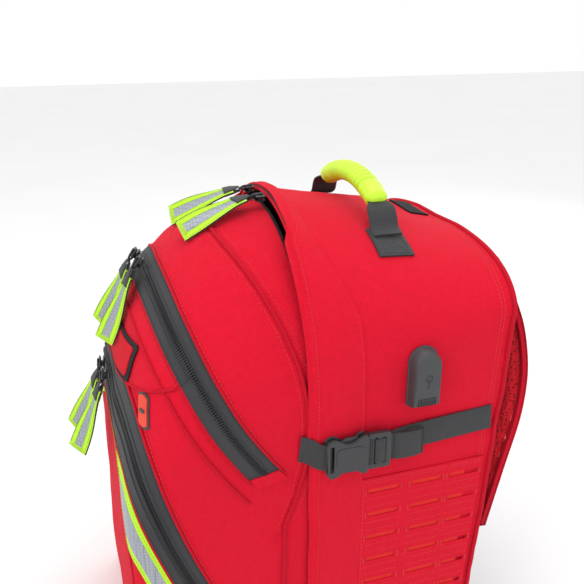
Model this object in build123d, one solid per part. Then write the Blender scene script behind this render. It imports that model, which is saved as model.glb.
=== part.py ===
from build123d import *
import math
import os

# Trauma backpack. Millimetres, +Z up, front towards -Y, the wearer's right side towards +X.
# The origin is on the base, under the middle of the rear compartment's front edge.

# ---- Rear compartment ----
HALF_WIDTH = 156.0  # outside half width
CREST = 495.0  # top of the arch over the main zip
SEAM_Y = -47.0  # plane of the main zip
BACK_TOP = 455.0  # top of the back seam
BACK_FLAT = 38.0  # half of the flat stretch along the top of the back
BACK_SHOULDER = 50.0  # drop of the rounded shoulder at the back
BACK_BASE_Y = 112.0  # back plane at the base
BACK_LEAN = 0.0637  # how far the back plane goes rearwards per millimetre of height
BASE_CORNER = 24.0
BASE_SHEET = 3.0  # thickness of the base panel
WALL = 4.0  # foam-backed wall
GAP = 0.15  # air between sewn layers
FLAP_WIDTH = 38.0
SIDE_FOOT = 40.0  # where the storm flap and the zip end above the base

# ---- Front lid: an arch that shrinks towards the front along elliptical profiles ----
LID_DEPTH = 159.0
LID_FRONT_HALF_WIDTH = 125.0
LID_FRONT_TOP = 290.0
LID_WIDTH_GAIN = 28.0
LID_HEIGHT_GAIN = 192.0
LID_WIDTH_POWER = 3.0
LID_HEIGHT_POWER = 2.4
LID_STATIONS = (0.0, 0.08, 0.3, 0.52, 0.7, 0.83, 0.92, 0.97, 1.0)
LID_WALL = 3.5
LID_RING_END = -54.0  # front edge of the lid's zip tape
LID_BASE = 0.8

# ---- Zips: each line is an arc seen from the side, given by three (Y, Z) points ----
UPPER_ZIP = ((-166.0, 440.0), (-138.0, 360.0), (-91.0, 282.0))
LOWER_ZIP = ((-204.0, 336.0), (-182.0, 245.0), (-112.0, 92.0))
UPPER_HINGE = (-203.0, 346.0)
UPPER_CUT = (-142.0, 370.0)
LOWER_HINGE = (-205.0, 22.0)
PIPING_LINE = ((-105.0, 470.0), (-56.5, 365.0), (-74.0, 225.0))
UPPER_ZIP_END = 278.0
TAPE_HALF = 13.0
TAPE = 1.2
FLAP_INNER = -1.0
FLAP_OUTER = 1.5

# ---- Webbing, buckles and pulls ----
WEBBING = 25.0
WEB_THICKNESS = 1.6
STRAP_Z = 297.0
BUCKLE_HEIGHT = 37.0
BUCKLE_X = 161.0
BUCKLE_DEPTH = 9.0
NAME_PANEL = (156.0, 350.5, 383.0)  # width, and heights of its lower and upper edges
SLIDER = (11.0, 10.0, 6.0)
TAB_LENGTH = 75.0
TAB_WIDTH = 24.0
TAB_THICKNESS = 2.6
MAIN_ARC_Z = 332.0
MAIN_ARC_RADIUS = 157.6

# ---- Load panels ----
SLOT_PITCH = 25.4
SLOT_TOP = 248.0
SLOT_ROWS = 8
SLOT_COLUMNS = (18.5, 63.5, 105.5)
SLOT_SIZE = (31.0, 3.5)

# ---- Carry handle ----
HANDLE_Y = 45.0
GRIP_HALF = 63.0
GRIP_END_Z = 490.0
GRIP_TOP_Z = 506.0
GRIP_RADIUS = 13.0
HANDLE_PIVOT_Z = 476.0

OUT = "parts"
os.makedirs(OUT, exist_ok=True)


def block(x0, x1, y0, y1, z0, z1):
    """Box between two corners."""
    centre = ((x0 + x1) / 2, (y0 + y1) / 2, (z0 + z1) / 2)
    return Pos(*centre) * Box(x1 - x0, y1 - y0, z1 - z0)


def slab(y0, y1, z0=-50.0, z1=900.0):
    """Everything between two Y planes."""
    return block(-400, 400, y0, y1, z0, z1)


def mirrored(shape):
    return mirror(shape, about=Plane.YZ)


def save(name, shape):
    export_step(shape, f"{OUT}/{name}.step")


def save_pair(stem, shape):
    """A right-hand piece and its mirror image."""
    save(f"{stem}_right", shape)
    save(f"{stem}_left", mirrored(shape))


# ---------------------------------------------------------------- rear compartment
def back_plane(distance=0.0):
    """Leaning plane of the back; distance is measured outwards."""
    return Plane((0, BACK_BASE_Y + distance, 0), x_dir=(1, 0, 0), z_dir=(0, -1, BACK_LEAN))


def arch_face(plane, half_width, flat, rise, top, base, corner):
    """Upright outline with an elliptical shoulder on each side."""
    span = half_width - flat
    spring = top - rise
    edges = [
        Line((-half_width + corner, base), (half_width - corner, base)),
        CenterArc((half_width - corner, base + corner), corner, 270, 90),
        Line((half_width, base + corner), (half_width, spring)),
        EllipticalCenterArc((flat, spring), span, rise, start_angle=0, arc_size=90),
        Line((flat, top), (-flat, top)),
        EllipticalCenterArc((-flat, spring), span, rise, start_angle=90, arc_size=90),
        Line((-half_width, spring), (-half_width, base + corner)),
        CenterArc((-half_width + corner, base + corner), corner, 180, 90),
    ]
    return plane * make_face(edges)


def rear_form(grow, back_out=0.0):
    """Outside form of the rear compartment, grown sideways by a distance."""
    base = BASE_SHEET - grow
    corner = BASE_CORNER + grow
    front = arch_face(
        Plane((0, SEAM_Y, 0), x_dir=(1, 0, 0), z_dir=(0, -1, 0)),
        HALF_WIDTH + grow, 1.0, HALF_WIDTH - 1.0 + grow, CREST + grow, base, corner,
    )
    back = arch_face(
        back_plane(back_out),
        HALF_WIDTH + grow, BACK_FLAT, BACK_SHOULDER + grow, BACK_TOP + grow, base, corner,
    )
    return loft([front, back], ruled=True)


def rear_layer(inner, outer, region):
    """Thin layer over the rear compartment, kept inside a region."""
    return (rear_form(outer) - rear_form(inner)) & region


def back_box(x0, x1, z0, z1, out0, out1):
    """Box on the leaning back plane, from out0 to out1 outwards."""
    centre = Location(((x0 + x1) / 2, (z0 + z1) / 2, -(out0 + out1) / 2))
    return back_plane().location * centre * Box(x1 - x0, z1 - z0, out1 - out0)


def back_point(x, out, z):
    """Point near the back: distance outwards and height along the lean."""
    at = back_plane().location * Location((x, z, -out))
    return at.position


def make_rear():
    shell = rear_form(0) - rear_form(-WALL, back_out=-WALL)
    save("main_shell", shell)
    base_top = BASE_SHEET - 0.1
    outline = RectangleRounded(2 * HALF_WIDTH - 34, BACK_BASE_Y - SEAM_Y - 8, 12)
    sheet = Pos(0, (BACK_BASE_Y + SEAM_Y) / 2, 0) * extrude(outline, base_top)
    save("base_panel", sheet)

    upper = block(-400, 400, -400, 400, SIDE_FOOT, 900)
    loose = rear_layer(1.5, 4.2, slab(SEAM_Y, SEAM_Y + FLAP_WIDTH))
    root = rear_layer(GAP, 4.2, slab(SEAM_Y + FLAP_WIDTH, SEAM_Y + FLAP_WIDTH + 5))
    save("storm_flap", (loose + root) & upper)
    save("zip_tape_rear", rear_layer(GAP, 1.35, slab(SEAM_Y + 0.2, SEAM_Y + 25)) & upper)

    ring = rear_layer(GAP, 3.2, back_box(-300, 300, 26, 600, -5, 5))
    save("back_piping", ring)


def make_load_panels():
    panel = block(HALF_WIDTH + 0.1, HALF_WIDTH + 2.1, -4, 121, 40, 262)
    length, height = SLOT_SIZE
    for row in range(SLOT_ROWS):
        z = SLOT_TOP - row * SLOT_PITCH
        for y in SLOT_COLUMNS:
            half = length / 2
            panel -= block(150, 165, y - half, y + half, z - height / 2, z + height / 2)
    back_edge = Plane((0, BACK_BASE_Y - 6, 0), x_dir=(1, 0, 0), z_dir=(0, -1, BACK_LEAN))
    beyond = back_edge.location * Pos(0, 300, -100) * Box(600, 900, 200)
    save_pair("load_panel", panel - beyond)


def make_charge_port():
    """Soft hood on the right side with a socket that opens downwards."""
    y, z0, width, straight = 50.0, 331.0, 28.0, 42.0
    face_plane = Plane((HALF_WIDTH + 0.2, y, z0), x_dir=(0, 1, 0), z_dir=(1, 0, 0))
    outline = make_face([
        Line((-width / 2, 0), (width / 2, 0)),
        Line((width / 2, 0), (width / 2, straight)),
        ThreePointArc((width / 2, straight), (0, straight + 13), (-width / 2, straight)),
        Line((-width / 2, straight), (-width / 2, 0)),
    ])
    hood = extrude(face_plane * outline, 14, taper=7)
    hood -= block(160.0, 167.2, y - 7.6, y + 7.6, z0 - 1, z0 + 17)
    for row in range(3):
        for column in range(7):
            dy = (column - 3) * 2.6
            z = z0 + 3 + row * 2.6
            hood -= block(169.4, 172, y + dy - 0.8, y + dy + 0.8, z - 0.8, z + 0.8)
    save("usb_housing", hood)
    socket = block(160.2, 167.0, y - 7.4, y + 7.4, z0 + 0.4, z0 + 16.5)
    socket -= block(160.9, 166.3, y - 6.6, y + 6.6, z0, z0 + 14.5)
    save("usb_socket", socket)


def make_top_details():
    patch = rear_layer(GAP, 2.6, block(74, 108, HANDLE_Y - 18, HANDLE_Y + 18, 300, 600))
    save_pair("handle_anchor", patch)
    save("top_port_patch", rear_layer(GAP, 2.0, block(-38, 12, 105, 127, 300, 600)))


# ---------------------------------------------------------------- harness
def ribbon(stations, thickness):
    """Flat strap through stations (x, outwards, height, width) near the back."""
    faces = []
    count = len(stations)
    for i, (x, out, z, width) in enumerate(stations):
        here = back_point(x, out, z)
        before = back_point(*stations[max(i - 1, 0)][:3])
        after = back_point(*stations[min(i + 1, count - 1)][:3])
        along = (after - before).normalized()
        across = Vector(0, 1, 0).cross(along).normalized()
        plane = Plane(here, x_dir=across, z_dir=along)
        faces.append(plane * Rectangle(width, thickness))
    return loft(faces, ruled=True)


def make_harness():
    save_pair("back_pad", back_box(12, 96, 150, 366, 0.4, 13))
    save("lumbar_pad", back_box(-112, 112, 36, 132, 0.4, 16))
    strap = ribbon([
        (78, 10, 432, 58), (84, 22, 408, 60), (98, 31, 375, 62), (114, 32, 335, 62),
        (122, 27, 295, 60), (124, 19, 250, 56), (125, 14, 210, 52), (126, 12, 172, 42),
    ], 12)
    save_pair("shoulder_strap", strap)
    save_pair("harness_webbing", ribbon([(127, 9, 140, WEBBING), (134, 2.2, 40, WEBBING)], WEB_THICKNESS))
    lock = back_box(110, 144, 142, 168, 7, 12)
    for z in (147, 158):
        lock -= back_box(114, 140, z, z + 5, 0, 20)
    save_pair("ladder_lock", lock)


# ---------------------------------------------------------------- compression straps
def make_side_straps():
    rear = block(HALF_WIDTH + 0.2, HALF_WIDTH + 0.2 + WEB_THICKNESS, 21, 121,
                 STRAP_Z - WEBBING / 2, STRAP_Z + WEBBING / 2)
    save_pair("side_strap_rear", Pos(0, 21, STRAP_Z) * Rot(4, 0, 0) * Pos(0, -21, -STRAP_Z) * rear)

    half = BUCKLE_HEIGHT / 2
    female = block(BUCKLE_X, BUCKLE_X + BUCKLE_DEPTH, -42, -4, STRAP_Z - half, STRAP_Z + half)
    female -= block(BUCKLE_X + 2, BUCKLE_X + 7, -34, 0, STRAP_Z - 14.5, STRAP_Z + 14.5)
    save_pair("side_buckle_female", female)

    frame = block(BUCKLE_X + 1, BUCKLE_X + 8, -3.5, 20, STRAP_Z - half + 1, STRAP_Z + half - 1)
    frame -= block(150, 180, 9, 14.5, STRAP_Z - 13, STRAP_Z + 13)
    for dz in (-11, 0, 11):
        frame += block(BUCKLE_X + 3, BUCKLE_X + 6, -30, -3.5, STRAP_Z + dz - 2.2, STRAP_Z + dz + 2.2)
    save_pair("side_buckle_male", frame)

    tail = block(HALF_WIDTH + 2.6, HALF_WIDTH + 11, 21, 54, STRAP_Z - 16, STRAP_Z + 14)
    save_pair("side_strap_tail", fillet(tail.edges().filter_by(Axis.Z), 3.5))

    faces = []
    for x, y in ((155.4, -54.3), (161.6, -48.8), (162.4, -42.3)):
        plane = Plane((x, y, STRAP_Z), x_dir=(1, 0, 0), z_dir=(0, -1, 0))
        faces.append(plane * Rectangle(WEB_THICKNESS, WEBBING))
    save_pair("side_strap_front", loft(faces, ruled=True))


# ---------------------------------------------------------------- front lid
def lid_section(station, grow, front_y=SEAM_Y):
    """Arch with a round top at one station, 0 at the seam and 1 at the front."""
    y = front_y - (LID_DEPTH + grow) * station
    width_profile = math.sqrt(1 - station ** LID_WIDTH_POWER)
    height_profile = math.sqrt(1 - station ** LID_HEIGHT_POWER)
    half = LID_FRONT_HALF_WIDTH + grow + LID_WIDTH_GAIN * width_profile
    top = LID_FRONT_TOP + grow + LID_HEIGHT_GAIN * height_profile
    plane = Plane((0, y, 0), x_dir=(1, 0, 0), z_dir=(0, -1, 0))
    return arch_face(plane, half, 0.5, half - 0.5, top, LID_BASE - grow, 20 + grow)


def lid_form(grow):
    return loft([lid_section(s, grow) for s in LID_STATIONS], ruled=True)


def lid_layer(inner, outer, region):
    return (lid_form(outer) - lid_form(inner)) & region


def circle_through(points):
    """Centre and radius of the circle through three (Y, Z) points."""
    (ay, az), (by, bz), (cy, cz) = points
    d = 2 * (ay * (bz - cz) + by * (cz - az) + cy * (az - bz))
    a2, b2, c2 = ay * ay + az * az, by * by + bz * bz, cy * cy + cz * cz
    y = (a2 * (bz - cz) + b2 * (cz - az) + c2 * (az - bz)) / d
    z = (a2 * (cy - by) + b2 * (ay - cy) + c2 * (by - ay)) / d
    return y, z, math.hypot(ay - y, az - z)


def arc_point(points, z, offset=0.0):
    """Point at a height on an arc whose radius is grown by an offset."""
    cy, cz, radius = circle_through(points)
    side = math.copysign(1, points[1][0] - cy)
    return cy + side * math.sqrt((radius + offset) ** 2 - (z - cz) ** 2), z


def side_face(outline):
    """Closed outline in the YZ plane, spread across the whole width."""
    face = Plane.YZ * make_face(outline)
    return extrude(face, 250, both=True)


def zip_strip(points, low, high, inner, outer):
    """Strip that follows a zip arc between two heights, from one offset to another."""
    middle = (low + high) / 2
    a, b, c = (arc_point(points, z, outer) for z in (high, middle, low))
    d, e, f = (arc_point(points, z, inner) for z in (low, middle, high))
    return side_face([ThreePointArc(a, b, c), Line(c, d), ThreePointArc(d, e, f), Line(f, a)])


def pocket_region(points, hinge, cut, high, clearance):
    """Space in front of a zip arc and above the fold line between the hinge and the zip."""
    top = arc_point(points, high, clearance)
    middle = arc_point(points, (high + cut[1]) / 2, clearance)
    start = arc_point(points, cut[1] + clearance, clearance)
    fold = (hinge[0], hinge[1] + clearance)
    front_low = (-300.0, hinge[1] + clearance)
    front_high = (-300.0, high)
    return side_face([
        ThreePointArc(start, middle, top), Line(top, front_high), Line(front_high, front_low),
        Line(front_low, fold), Line(fold, start),
    ])


UPPER_TOP = 470.0
LOWER_TOP = 344.0
UPPER_FLAP_REGION = pocket_region(UPPER_ZIP, UPPER_HINGE, UPPER_CUT, UPPER_TOP, 0.4)
UPPER_GAP_REGION = pocket_region(UPPER_ZIP, UPPER_HINGE, UPPER_CUT, UPPER_TOP, 0.0)
LOWER_FLAP_REGION = pocket_region(LOWER_ZIP, LOWER_HINGE, LOWER_ZIP[2], LOWER_TOP, 0.4)
LOWER_GAP_REGION = pocket_region(LOWER_ZIP, LOWER_HINGE, LOWER_ZIP[2], LOWER_TOP, 0.0)


def make_lid():
    outside = slab(-400, LID_RING_END)
    walls = lid_layer(-LID_WALL, 0, outside)
    inner = lid_form(-LID_WALL - 0.2)
    walls = walls - UPPER_GAP_REGION - LOWER_GAP_REGION
    save("lid_shell", walls)
    panel = inner & slab(-98, -95)
    divider = inner & block(-400, 400, -199, -97, 335.5, 338)
    save("pocket_partition", panel + divider)

    plane_y = SEAM_Y - 0.4
    outer = [(plane_y, 154.0, 488.0), (LID_RING_END + 0.2, 152.9, 481.6)]
    rings = []
    for inset in (0.0, 1.6):
        faces = []
        for y, half, top in outer:
            plane = Plane((0, y, 0), x_dir=(1, 0, 0), z_dir=(0, -1, 0))
            radius = half - inset
            faces.append(arch_face(plane, radius, 0.5, radius - 0.5, top - inset, LID_BASE + inset, 20))
        rings.append(loft(faces, ruled=True))
    save("zip_tape_lid", rings[0] - rings[1])

    y, z = PIPING_LINE[2]
    foot = [(y - 1.8, z), (y + 1.8, z), (y - 4.2, 16), (y - 7.8, 16)]
    lower_bead = side_face([Line(foot[i], foot[(i + 1) % 4]) for i in range(4)])
    bead = zip_strip(PIPING_LINE, z, 480, -1.8, 1.8) + lower_bead
    save("lid_piping", lid_layer(0.1, 2.2, bead) & slab(-400, LID_RING_END - 0.5))


def make_pockets():
    save("upper_pocket_face", lid_layer(FLAP_INNER, FLAP_OUTER, UPPER_FLAP_REGION))
    save("lower_pocket_face", lid_layer(FLAP_INNER, FLAP_OUTER, LOWER_FLAP_REGION))

    rear = zip_strip(UPPER_ZIP, UPPER_ZIP_END, UPPER_TOP, -TAPE_HALF, -0.3)
    low_front = zip_strip(UPPER_ZIP, UPPER_ZIP_END, UPPER_CUT[1] - 8, -0.3, TAPE_HALF)
    save("upper_zip_tape_rear", lid_layer(0.1, TAPE, rear + low_front))
    front = zip_strip(UPPER_ZIP, UPPER_CUT[1] + 8, UPPER_TOP, 0.6, TAPE_HALF)
    save("upper_zip_tape_front", lid_layer(FLAP_OUTER + 0.1, FLAP_OUTER + TAPE, front))

    rear = zip_strip(LOWER_ZIP, LOWER_ZIP[2][1], LOWER_TOP + 6, -TAPE_HALF, -0.3)
    save("lower_zip_tape_rear", lid_layer(0.1, TAPE, rear) & block(-400, 400, -400, 400, 0, 343))
    front = zip_strip(LOWER_ZIP, LOWER_ZIP[2][1] + 8, LOWER_TOP - 2, 0.6, TAPE_HALF)
    save("lower_zip_tape_front", lid_layer(FLAP_OUTER + 0.1, FLAP_OUTER + TAPE, front))

    band = zip_strip(LOWER_ZIP, LOWER_ZIP[2][1] + 22, 300, TAPE_HALF + 4, TAPE_HALF + 20)
    save("reflective_band", lid_layer(FLAP_OUTER + 0.1, FLAP_OUTER + TAPE, band))

    panel = block(-NAME_PANEL[0] / 2, NAME_PANEL[0] / 2, -260, -150, *NAME_PANEL[1:])
    save("name_panel", lid_layer(FLAP_OUTER + 0.1, FLAP_OUTER + 1.9, panel))
    badge = lid_layer(0.1, 2.2, block(103, 127, -260, -150, 326, 354))
    save("badge", badge - zip_strip(LOWER_ZIP, 100, 350, -TAPE_HALF - 1, TAPE_HALF) - UPPER_GAP_REGION)


# ---------------------------------------------------------------- carry handle
def make_handle():
    plane = Plane((0, HANDLE_Y, 0), x_dir=(1, 0, 0), z_dir=(0, -1, 0))
    path = plane * ThreePointArc((-GRIP_HALF, GRIP_END_Z), (0, GRIP_TOP_Z), (GRIP_HALF, GRIP_END_Z))
    start = Plane(path @ 0, x_dir=(0, 1, 0), z_dir=path % 0)
    grip = sweep(start * Circle(GRIP_RADIUS), path=path)
    grip -= sweep(start * Rectangle(20, 3.6), path=path)
    save("handle_grip", grip)

    webbing = sweep(start * Rectangle(19, 2.2), path=path)
    legs = [(GRIP_HALF, GRIP_END_Z, 19), (GRIP_HALF + 4, 487.6, 30), (72.5, 482.5, 30), (75.5, HANDLE_PIVOT_Z + 1, 9)]
    faces = []
    for i, (x, z, width) in enumerate(legs):
        before = legs[max(i - 1, 0)]
        after = legs[min(i + 1, len(legs) - 1)]
        along = Vector(after[0] - before[0], 0, after[1] - before[1]).normalized()
        leg_plane = Plane((x, HANDLE_Y, z), x_dir=(0, 1, 0), z_dir=along)
        faces.append(leg_plane * Rectangle(width, 2.2))
    leg = loft(faces, ruled=True)
    save("handle_webbing", webbing + leg + mirrored(leg))


# ---------------------------------------------------------------- zip pulls
def slider_shape():
    """Slider on the XY plane: body along X with a raised bail; the pull hangs towards -Y."""
    length, width, height = SLIDER
    body = Pos(0, 0, height / 2) * Box(length, width, height)
    body = fillet(body.edges().filter_by(Axis.Z), 2.5)
    bail = block(-3, 3, -width / 2 - 3.4, width / 2 - 2, height, height + 1.6)
    bail += block(-3, 3, -width / 2 - 3.4, -width / 2 - 1.8, 1.0, height + 1.6)
    return body + bail


def tab_shape():
    """Pull on the XY plane: from the bail at the origin along -Y."""
    outline = Pos(0, -4.6 - TAB_LENGTH / 2) * RectangleRounded(TAB_WIDTH, TAB_LENGTH, 3)
    return extrude(outline, TAB_THICKNESS)


def place_pull(name, face, tab_pitch, tab_yaw):
    """Slider on a surface plane, with its tab hanging from the bail's front."""
    save(f"{name}_slider", face.location * slider_shape())
    pivot = face.location * Pos(0, -SLIDER[1] / 2 - 3.4, SLIDER[2] / 2)
    at = Pos(*pivot.position) * Rot(tab_pitch, 0, 0) * Rot(0, 0, tab_yaw)
    save(f"{name}_tab", at * tab_shape())
    print(name, "pivot", [round(v, 2) for v in pivot.position])


def make_pulls():
    for side, name in ((-1, "left"), (1, "right")):
        angle = math.radians(6.5 * side)
        centre = (MAIN_ARC_RADIUS * math.sin(angle), -55.0, MAIN_ARC_Z + MAIN_ARC_RADIUS * math.cos(angle))
        face = Plane(centre, x_dir=(math.cos(angle), 0, -math.sin(angle)), z_dir=(math.sin(angle), 0, math.cos(angle)))
        place_pull(f"main_{name}", face, 9, 8 * side)

        slope = math.radians(52)
        face = Plane((13.5 * side, -166.4, 437.2), x_dir=(1, 0, 0), z_dir=(0, -math.sin(slope), math.cos(slope)))
        place_pull(f"upper_{name}", face, 62, 7 * side)

        face = Plane((13.5 * side, -206.6, 331.0), x_dir=(1, 0, 0), z_dir=(0, -math.sin(1.4), math.cos(1.4)))
        place_pull(f"lower_{name}", face, 64, 7 * side)


make_rear()
make_load_panels()
make_charge_port()
make_top_details()
make_harness()
make_side_straps()
make_lid()
make_pockets()
make_handle()
make_pulls()
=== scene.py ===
import math

import bpy
import numpy as np
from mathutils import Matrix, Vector


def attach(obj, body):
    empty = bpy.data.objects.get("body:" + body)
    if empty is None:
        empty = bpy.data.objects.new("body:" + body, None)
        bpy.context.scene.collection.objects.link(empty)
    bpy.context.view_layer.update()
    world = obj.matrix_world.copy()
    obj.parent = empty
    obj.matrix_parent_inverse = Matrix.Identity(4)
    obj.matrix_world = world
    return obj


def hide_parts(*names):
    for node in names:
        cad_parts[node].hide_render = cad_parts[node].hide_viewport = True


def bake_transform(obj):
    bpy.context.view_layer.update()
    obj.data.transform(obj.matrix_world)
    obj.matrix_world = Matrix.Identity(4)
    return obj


# Trauma backpack. Shapes are worked out in millimetres in the CAD frame and become metres
# when their mesh is made. +Z up, front towards -Y, the wearer's right side towards +X.
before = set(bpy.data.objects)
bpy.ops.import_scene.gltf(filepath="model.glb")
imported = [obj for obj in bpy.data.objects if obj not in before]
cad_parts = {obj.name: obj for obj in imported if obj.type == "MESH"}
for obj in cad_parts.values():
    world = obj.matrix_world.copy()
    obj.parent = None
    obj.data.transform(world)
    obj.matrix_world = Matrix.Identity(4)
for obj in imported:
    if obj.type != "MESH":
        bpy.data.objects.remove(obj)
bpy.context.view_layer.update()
MM = 0.001

# ---- Rear compartment ----
HALF_WIDTH = 156.0
CREST = 495.0
SEAM_Y = -47.0
BACK_TOP = 455.0
BACK_BASE_Y = 112.0
BACK_LEAN = 0.0637
BASE_SHEET = 3.0
SIDE_FOOT = 40.0

# ---- Front lid ----
LID_DEPTH = 159.0
LID_RING_END = -54.0
LID_BASE = 0.8
FRONT_BULGE = 7.0  # how far the filled pocket crowns the flat front
FRONT_CENTRE_Z = 150.0

# ---- Zip lines and seams seen from the side, as arcs through three (Y, Z) points ----
UPPER_ZIP = ((-166.0, 440.0), (-138.0, 360.0), (-91.0, 282.0))
LOWER_ZIP = ((-204.0, 336.0), (-182.0, 245.0), (-112.0, 92.0))
PIPING_LINE = ((-105.0, 470.0), (-56.5, 365.0), (-74.0, 225.0))
UPPER_HINGE = (-203.0, 346.0)
UPPER_CUT = (-142.0, 370.0)
LOWER_HINGE = (-205.0, 22.0)
UPPER_ZIP_LOW = 280.0
LOWER_ZIP_LOW = 94.0
TAPE_WIDTH = 13.0
ZIP_MARGIN = 6.0  # from the zip line to the edge of the cloth under the tapes

# ---- Places of small parts ----
WEBBING = 25.0
STRAP_Z = 297.0
HANDLE_Y = 45.0

# Shares of the half outline at which the arch changes from one stretch to the next.
FLAT_END, SHOULDER_END, SIDE_END, CORNER_END = 0.03, 0.40, 0.80, 0.85


# ================================================================ outlines and surfaces
def arch(v, half, flat, rise, top, base, corner):
    """(x, z) on an upright arch: v is 0 at the top centre and 1 or -1 at the bottom centre."""
    side, u = np.sign(v), np.abs(v)
    spring = top - rise
    a = np.clip(u / FLAT_END, 0, 1)
    b = np.clip((u - FLAT_END) / (SHOULDER_END - FLAT_END), 0, 1) * math.pi / 2
    c = np.clip((u - SHOULDER_END) / (SIDE_END - SHOULDER_END), 0, 1)
    d = np.clip((u - SIDE_END) / (CORNER_END - SIDE_END), 0, 1) * math.pi / 2
    e = np.clip((u - CORNER_END) / (1 - CORNER_END), 0, 1)
    stretch = [u < FLAT_END, u < SHOULDER_END, u < SIDE_END, u < CORNER_END]
    x = np.select(stretch, [
        a * flat,
        flat + (half - flat) * np.sin(b),
        half + 0 * u,
        half - corner * (1 - np.cos(d)),
    ], (half - corner) * (1 - e))
    z = np.select(stretch, [
        top + 0 * u,
        spring + rise * np.cos(b),
        spring + (base + corner - spring) * c,
        base + corner * (1 - np.sin(d)),
    ], base + 0 * u)
    return side * x, z


def rear(v, f):
    """Rear compartment: f is 0 at the zip, 1 at the back seam, and 2 at the middle of the back."""
    v, f = np.broadcast_arrays(v, f)
    x0, z0 = arch(v, HALF_WIDTH, 1.0, 155.0, CREST, BASE_SHEET, 24.0)
    x1, h = arch(v, HALF_WIDTH, 38.0, 50.0, BACK_TOP, BASE_SHEET, 24.0)
    lean = math.hypot(1.0, BACK_LEAN)
    y1, z1 = BACK_BASE_Y + h * BACK_LEAN / lean, h / lean
    t = np.clip(f, 0, 1)
    side = np.stack([x0 + (x1 - x0) * t, SEAM_Y + (y1 - SEAM_Y) * t, z0 + (z1 - z0) * t], -1)
    middle_z = BACK_TOP * 0.45
    middle = np.array([0.0, BACK_BASE_Y + middle_z * BACK_LEAN, middle_z])
    inwards = np.clip(f - 1, 0, 1)[..., None]
    return side + (middle - side) * inwards


def rear_share(v, y):
    """Share f of the rear compartment at which its surface reaches a given Y."""
    _, h = arch(v, HALF_WIDTH, 38.0, 50.0, BACK_TOP, BASE_SHEET, 24.0)
    return (y - SEAM_Y) / (BACK_BASE_Y + h * BACK_LEAN - SEAM_Y)


def lid(v, q):
    """Front lid: q is 0 at the zip, 1 at the edge of the front, and 2 at the middle of the front."""
    v, q = np.broadcast_arrays(v, q)
    s = 1 - (1 - np.clip(q, 0, 1)) ** 2
    half = 125.0 + 28.0 * np.sqrt(1 - s ** 3)
    top = 290.0 + 192.0 * np.sqrt(1 - s ** 2.4)
    x, z = arch(v, half, 0.5, half - 0.5, top, LID_BASE, 20.0)
    share = np.clip(2 - q, 0, 1)
    y = SEAM_Y - LID_DEPTH * s - FRONT_BULGE * (1 - share ** 2)
    z = FRONT_CENTRE_Z + (z - FRONT_CENTRE_Z) * share
    return np.stack([x * share, y, z], -1)


MIDDLE = {"rear": np.array([0.0, 40.0, 200.0]), "lid": np.array([0.0, -90.0, 200.0])}


def seam_distance(points, seam):
    """Signed distance in the side view from an arc; positive in front of it."""
    cy, cz, radius = circle_through(seam)
    facing = math.copysign(1.0, cy - seam[1][0])
    return facing * (np.hypot(points[..., 1] - cy, points[..., 2] - cz) - radius)


def circle_through(points):
    """Centre and radius of the circle through three (Y, Z) points."""
    (ay, az), (by, bz), (cy, cz) = points
    d = 2 * (ay * (bz - cz) + by * (cz - az) + cy * (az - bz))
    a2, b2, c2 = ay * ay + az * az, by * by + bz * bz, cy * cy + cz * cz
    y = (a2 * (bz - cz) + b2 * (cz - az) + c2 * (az - bz)) / d
    z = (a2 * (cy - by) + b2 * (ay - cy) + c2 * (by - ay)) / d
    return y, z, math.hypot(ay - y, az - z)


def ripple(points, wavelength, seed):
    """Smooth uneven height between about -1 and 1: a sum of waves in fixed random directions."""
    dice = np.random.RandomState(seed)
    total = np.zeros(points.shape[:-1])
    for _ in range(6):
        direction = dice.normal(size=3)
        direction *= 2 * math.pi / (wavelength * dice.uniform(0.7, 1.6) * np.linalg.norm(direction))
        total += np.sin(points @ direction + dice.uniform(0, 6.28))
    return total / 3.5


def lid_relief(points):
    """How far the filled fabric of the lid stands out from its plain form."""
    y, z = points[..., 1], points[..., 2]
    height = 1.1 * ripple(points, 95, 3) + 0.35 * ripple(points, 34, 5)
    gusset = seam_distance(points, PIPING_LINE)
    near = np.where(z > 215, np.abs(gusset), 60.0)
    height -= 2.0 * np.exp(-(near / 9) ** 2)
    along = np.sin(z / 3.9 + 1.5 * np.sin(z / 17)) * np.sin(points[..., 0] / 6.3 + z / 23)
    height += 0.7 * along * np.exp(-((near - 10) / 13) ** 2)
    for zip_line in (UPPER_ZIP, LOWER_ZIP):
        gap = np.abs(seam_distance(points, zip_line))
        height -= 0.9 * np.exp(-((gap - 15) / 6) ** 2)
    edge = np.clip((y - LID_RING_END + 10) / 10, 0, 1)
    floor = np.clip(z / 20, 0, 1)
    return height * (1 - edge) * floor


def rear_relief(points):
    """How far the fabric of the rear compartment stands out from its plain form."""
    y, z = points[..., 1], points[..., 2]
    height = 1.0 * ripple(points, 110, 11) + 0.3 * ripple(points, 38, 12)
    seam = BACK_BASE_Y + z * BACK_LEAN
    near_seam = np.exp(-((y - seam) / 12) ** 2)
    height -= 0.8 * near_seam
    height += 0.15 * near_seam * np.sin(z / 4.3 + np.sin(z / 19))
    strap = np.abs(z - STRAP_Z - 2) / 15
    sides = np.clip((np.abs(points[..., 0]) - 140) / 10, 0, 1)
    height -= 1.3 * sides * np.exp(-strap ** 4)
    edge = np.clip((SEAM_Y + 14 - y) / 12, 0, 1)
    floor = np.clip(z / 20, 0, 1)
    return height * (1 - edge) * floor


FORMS = {"rear": (rear, rear_relief), "lid": (lid, lid_relief)}


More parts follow.
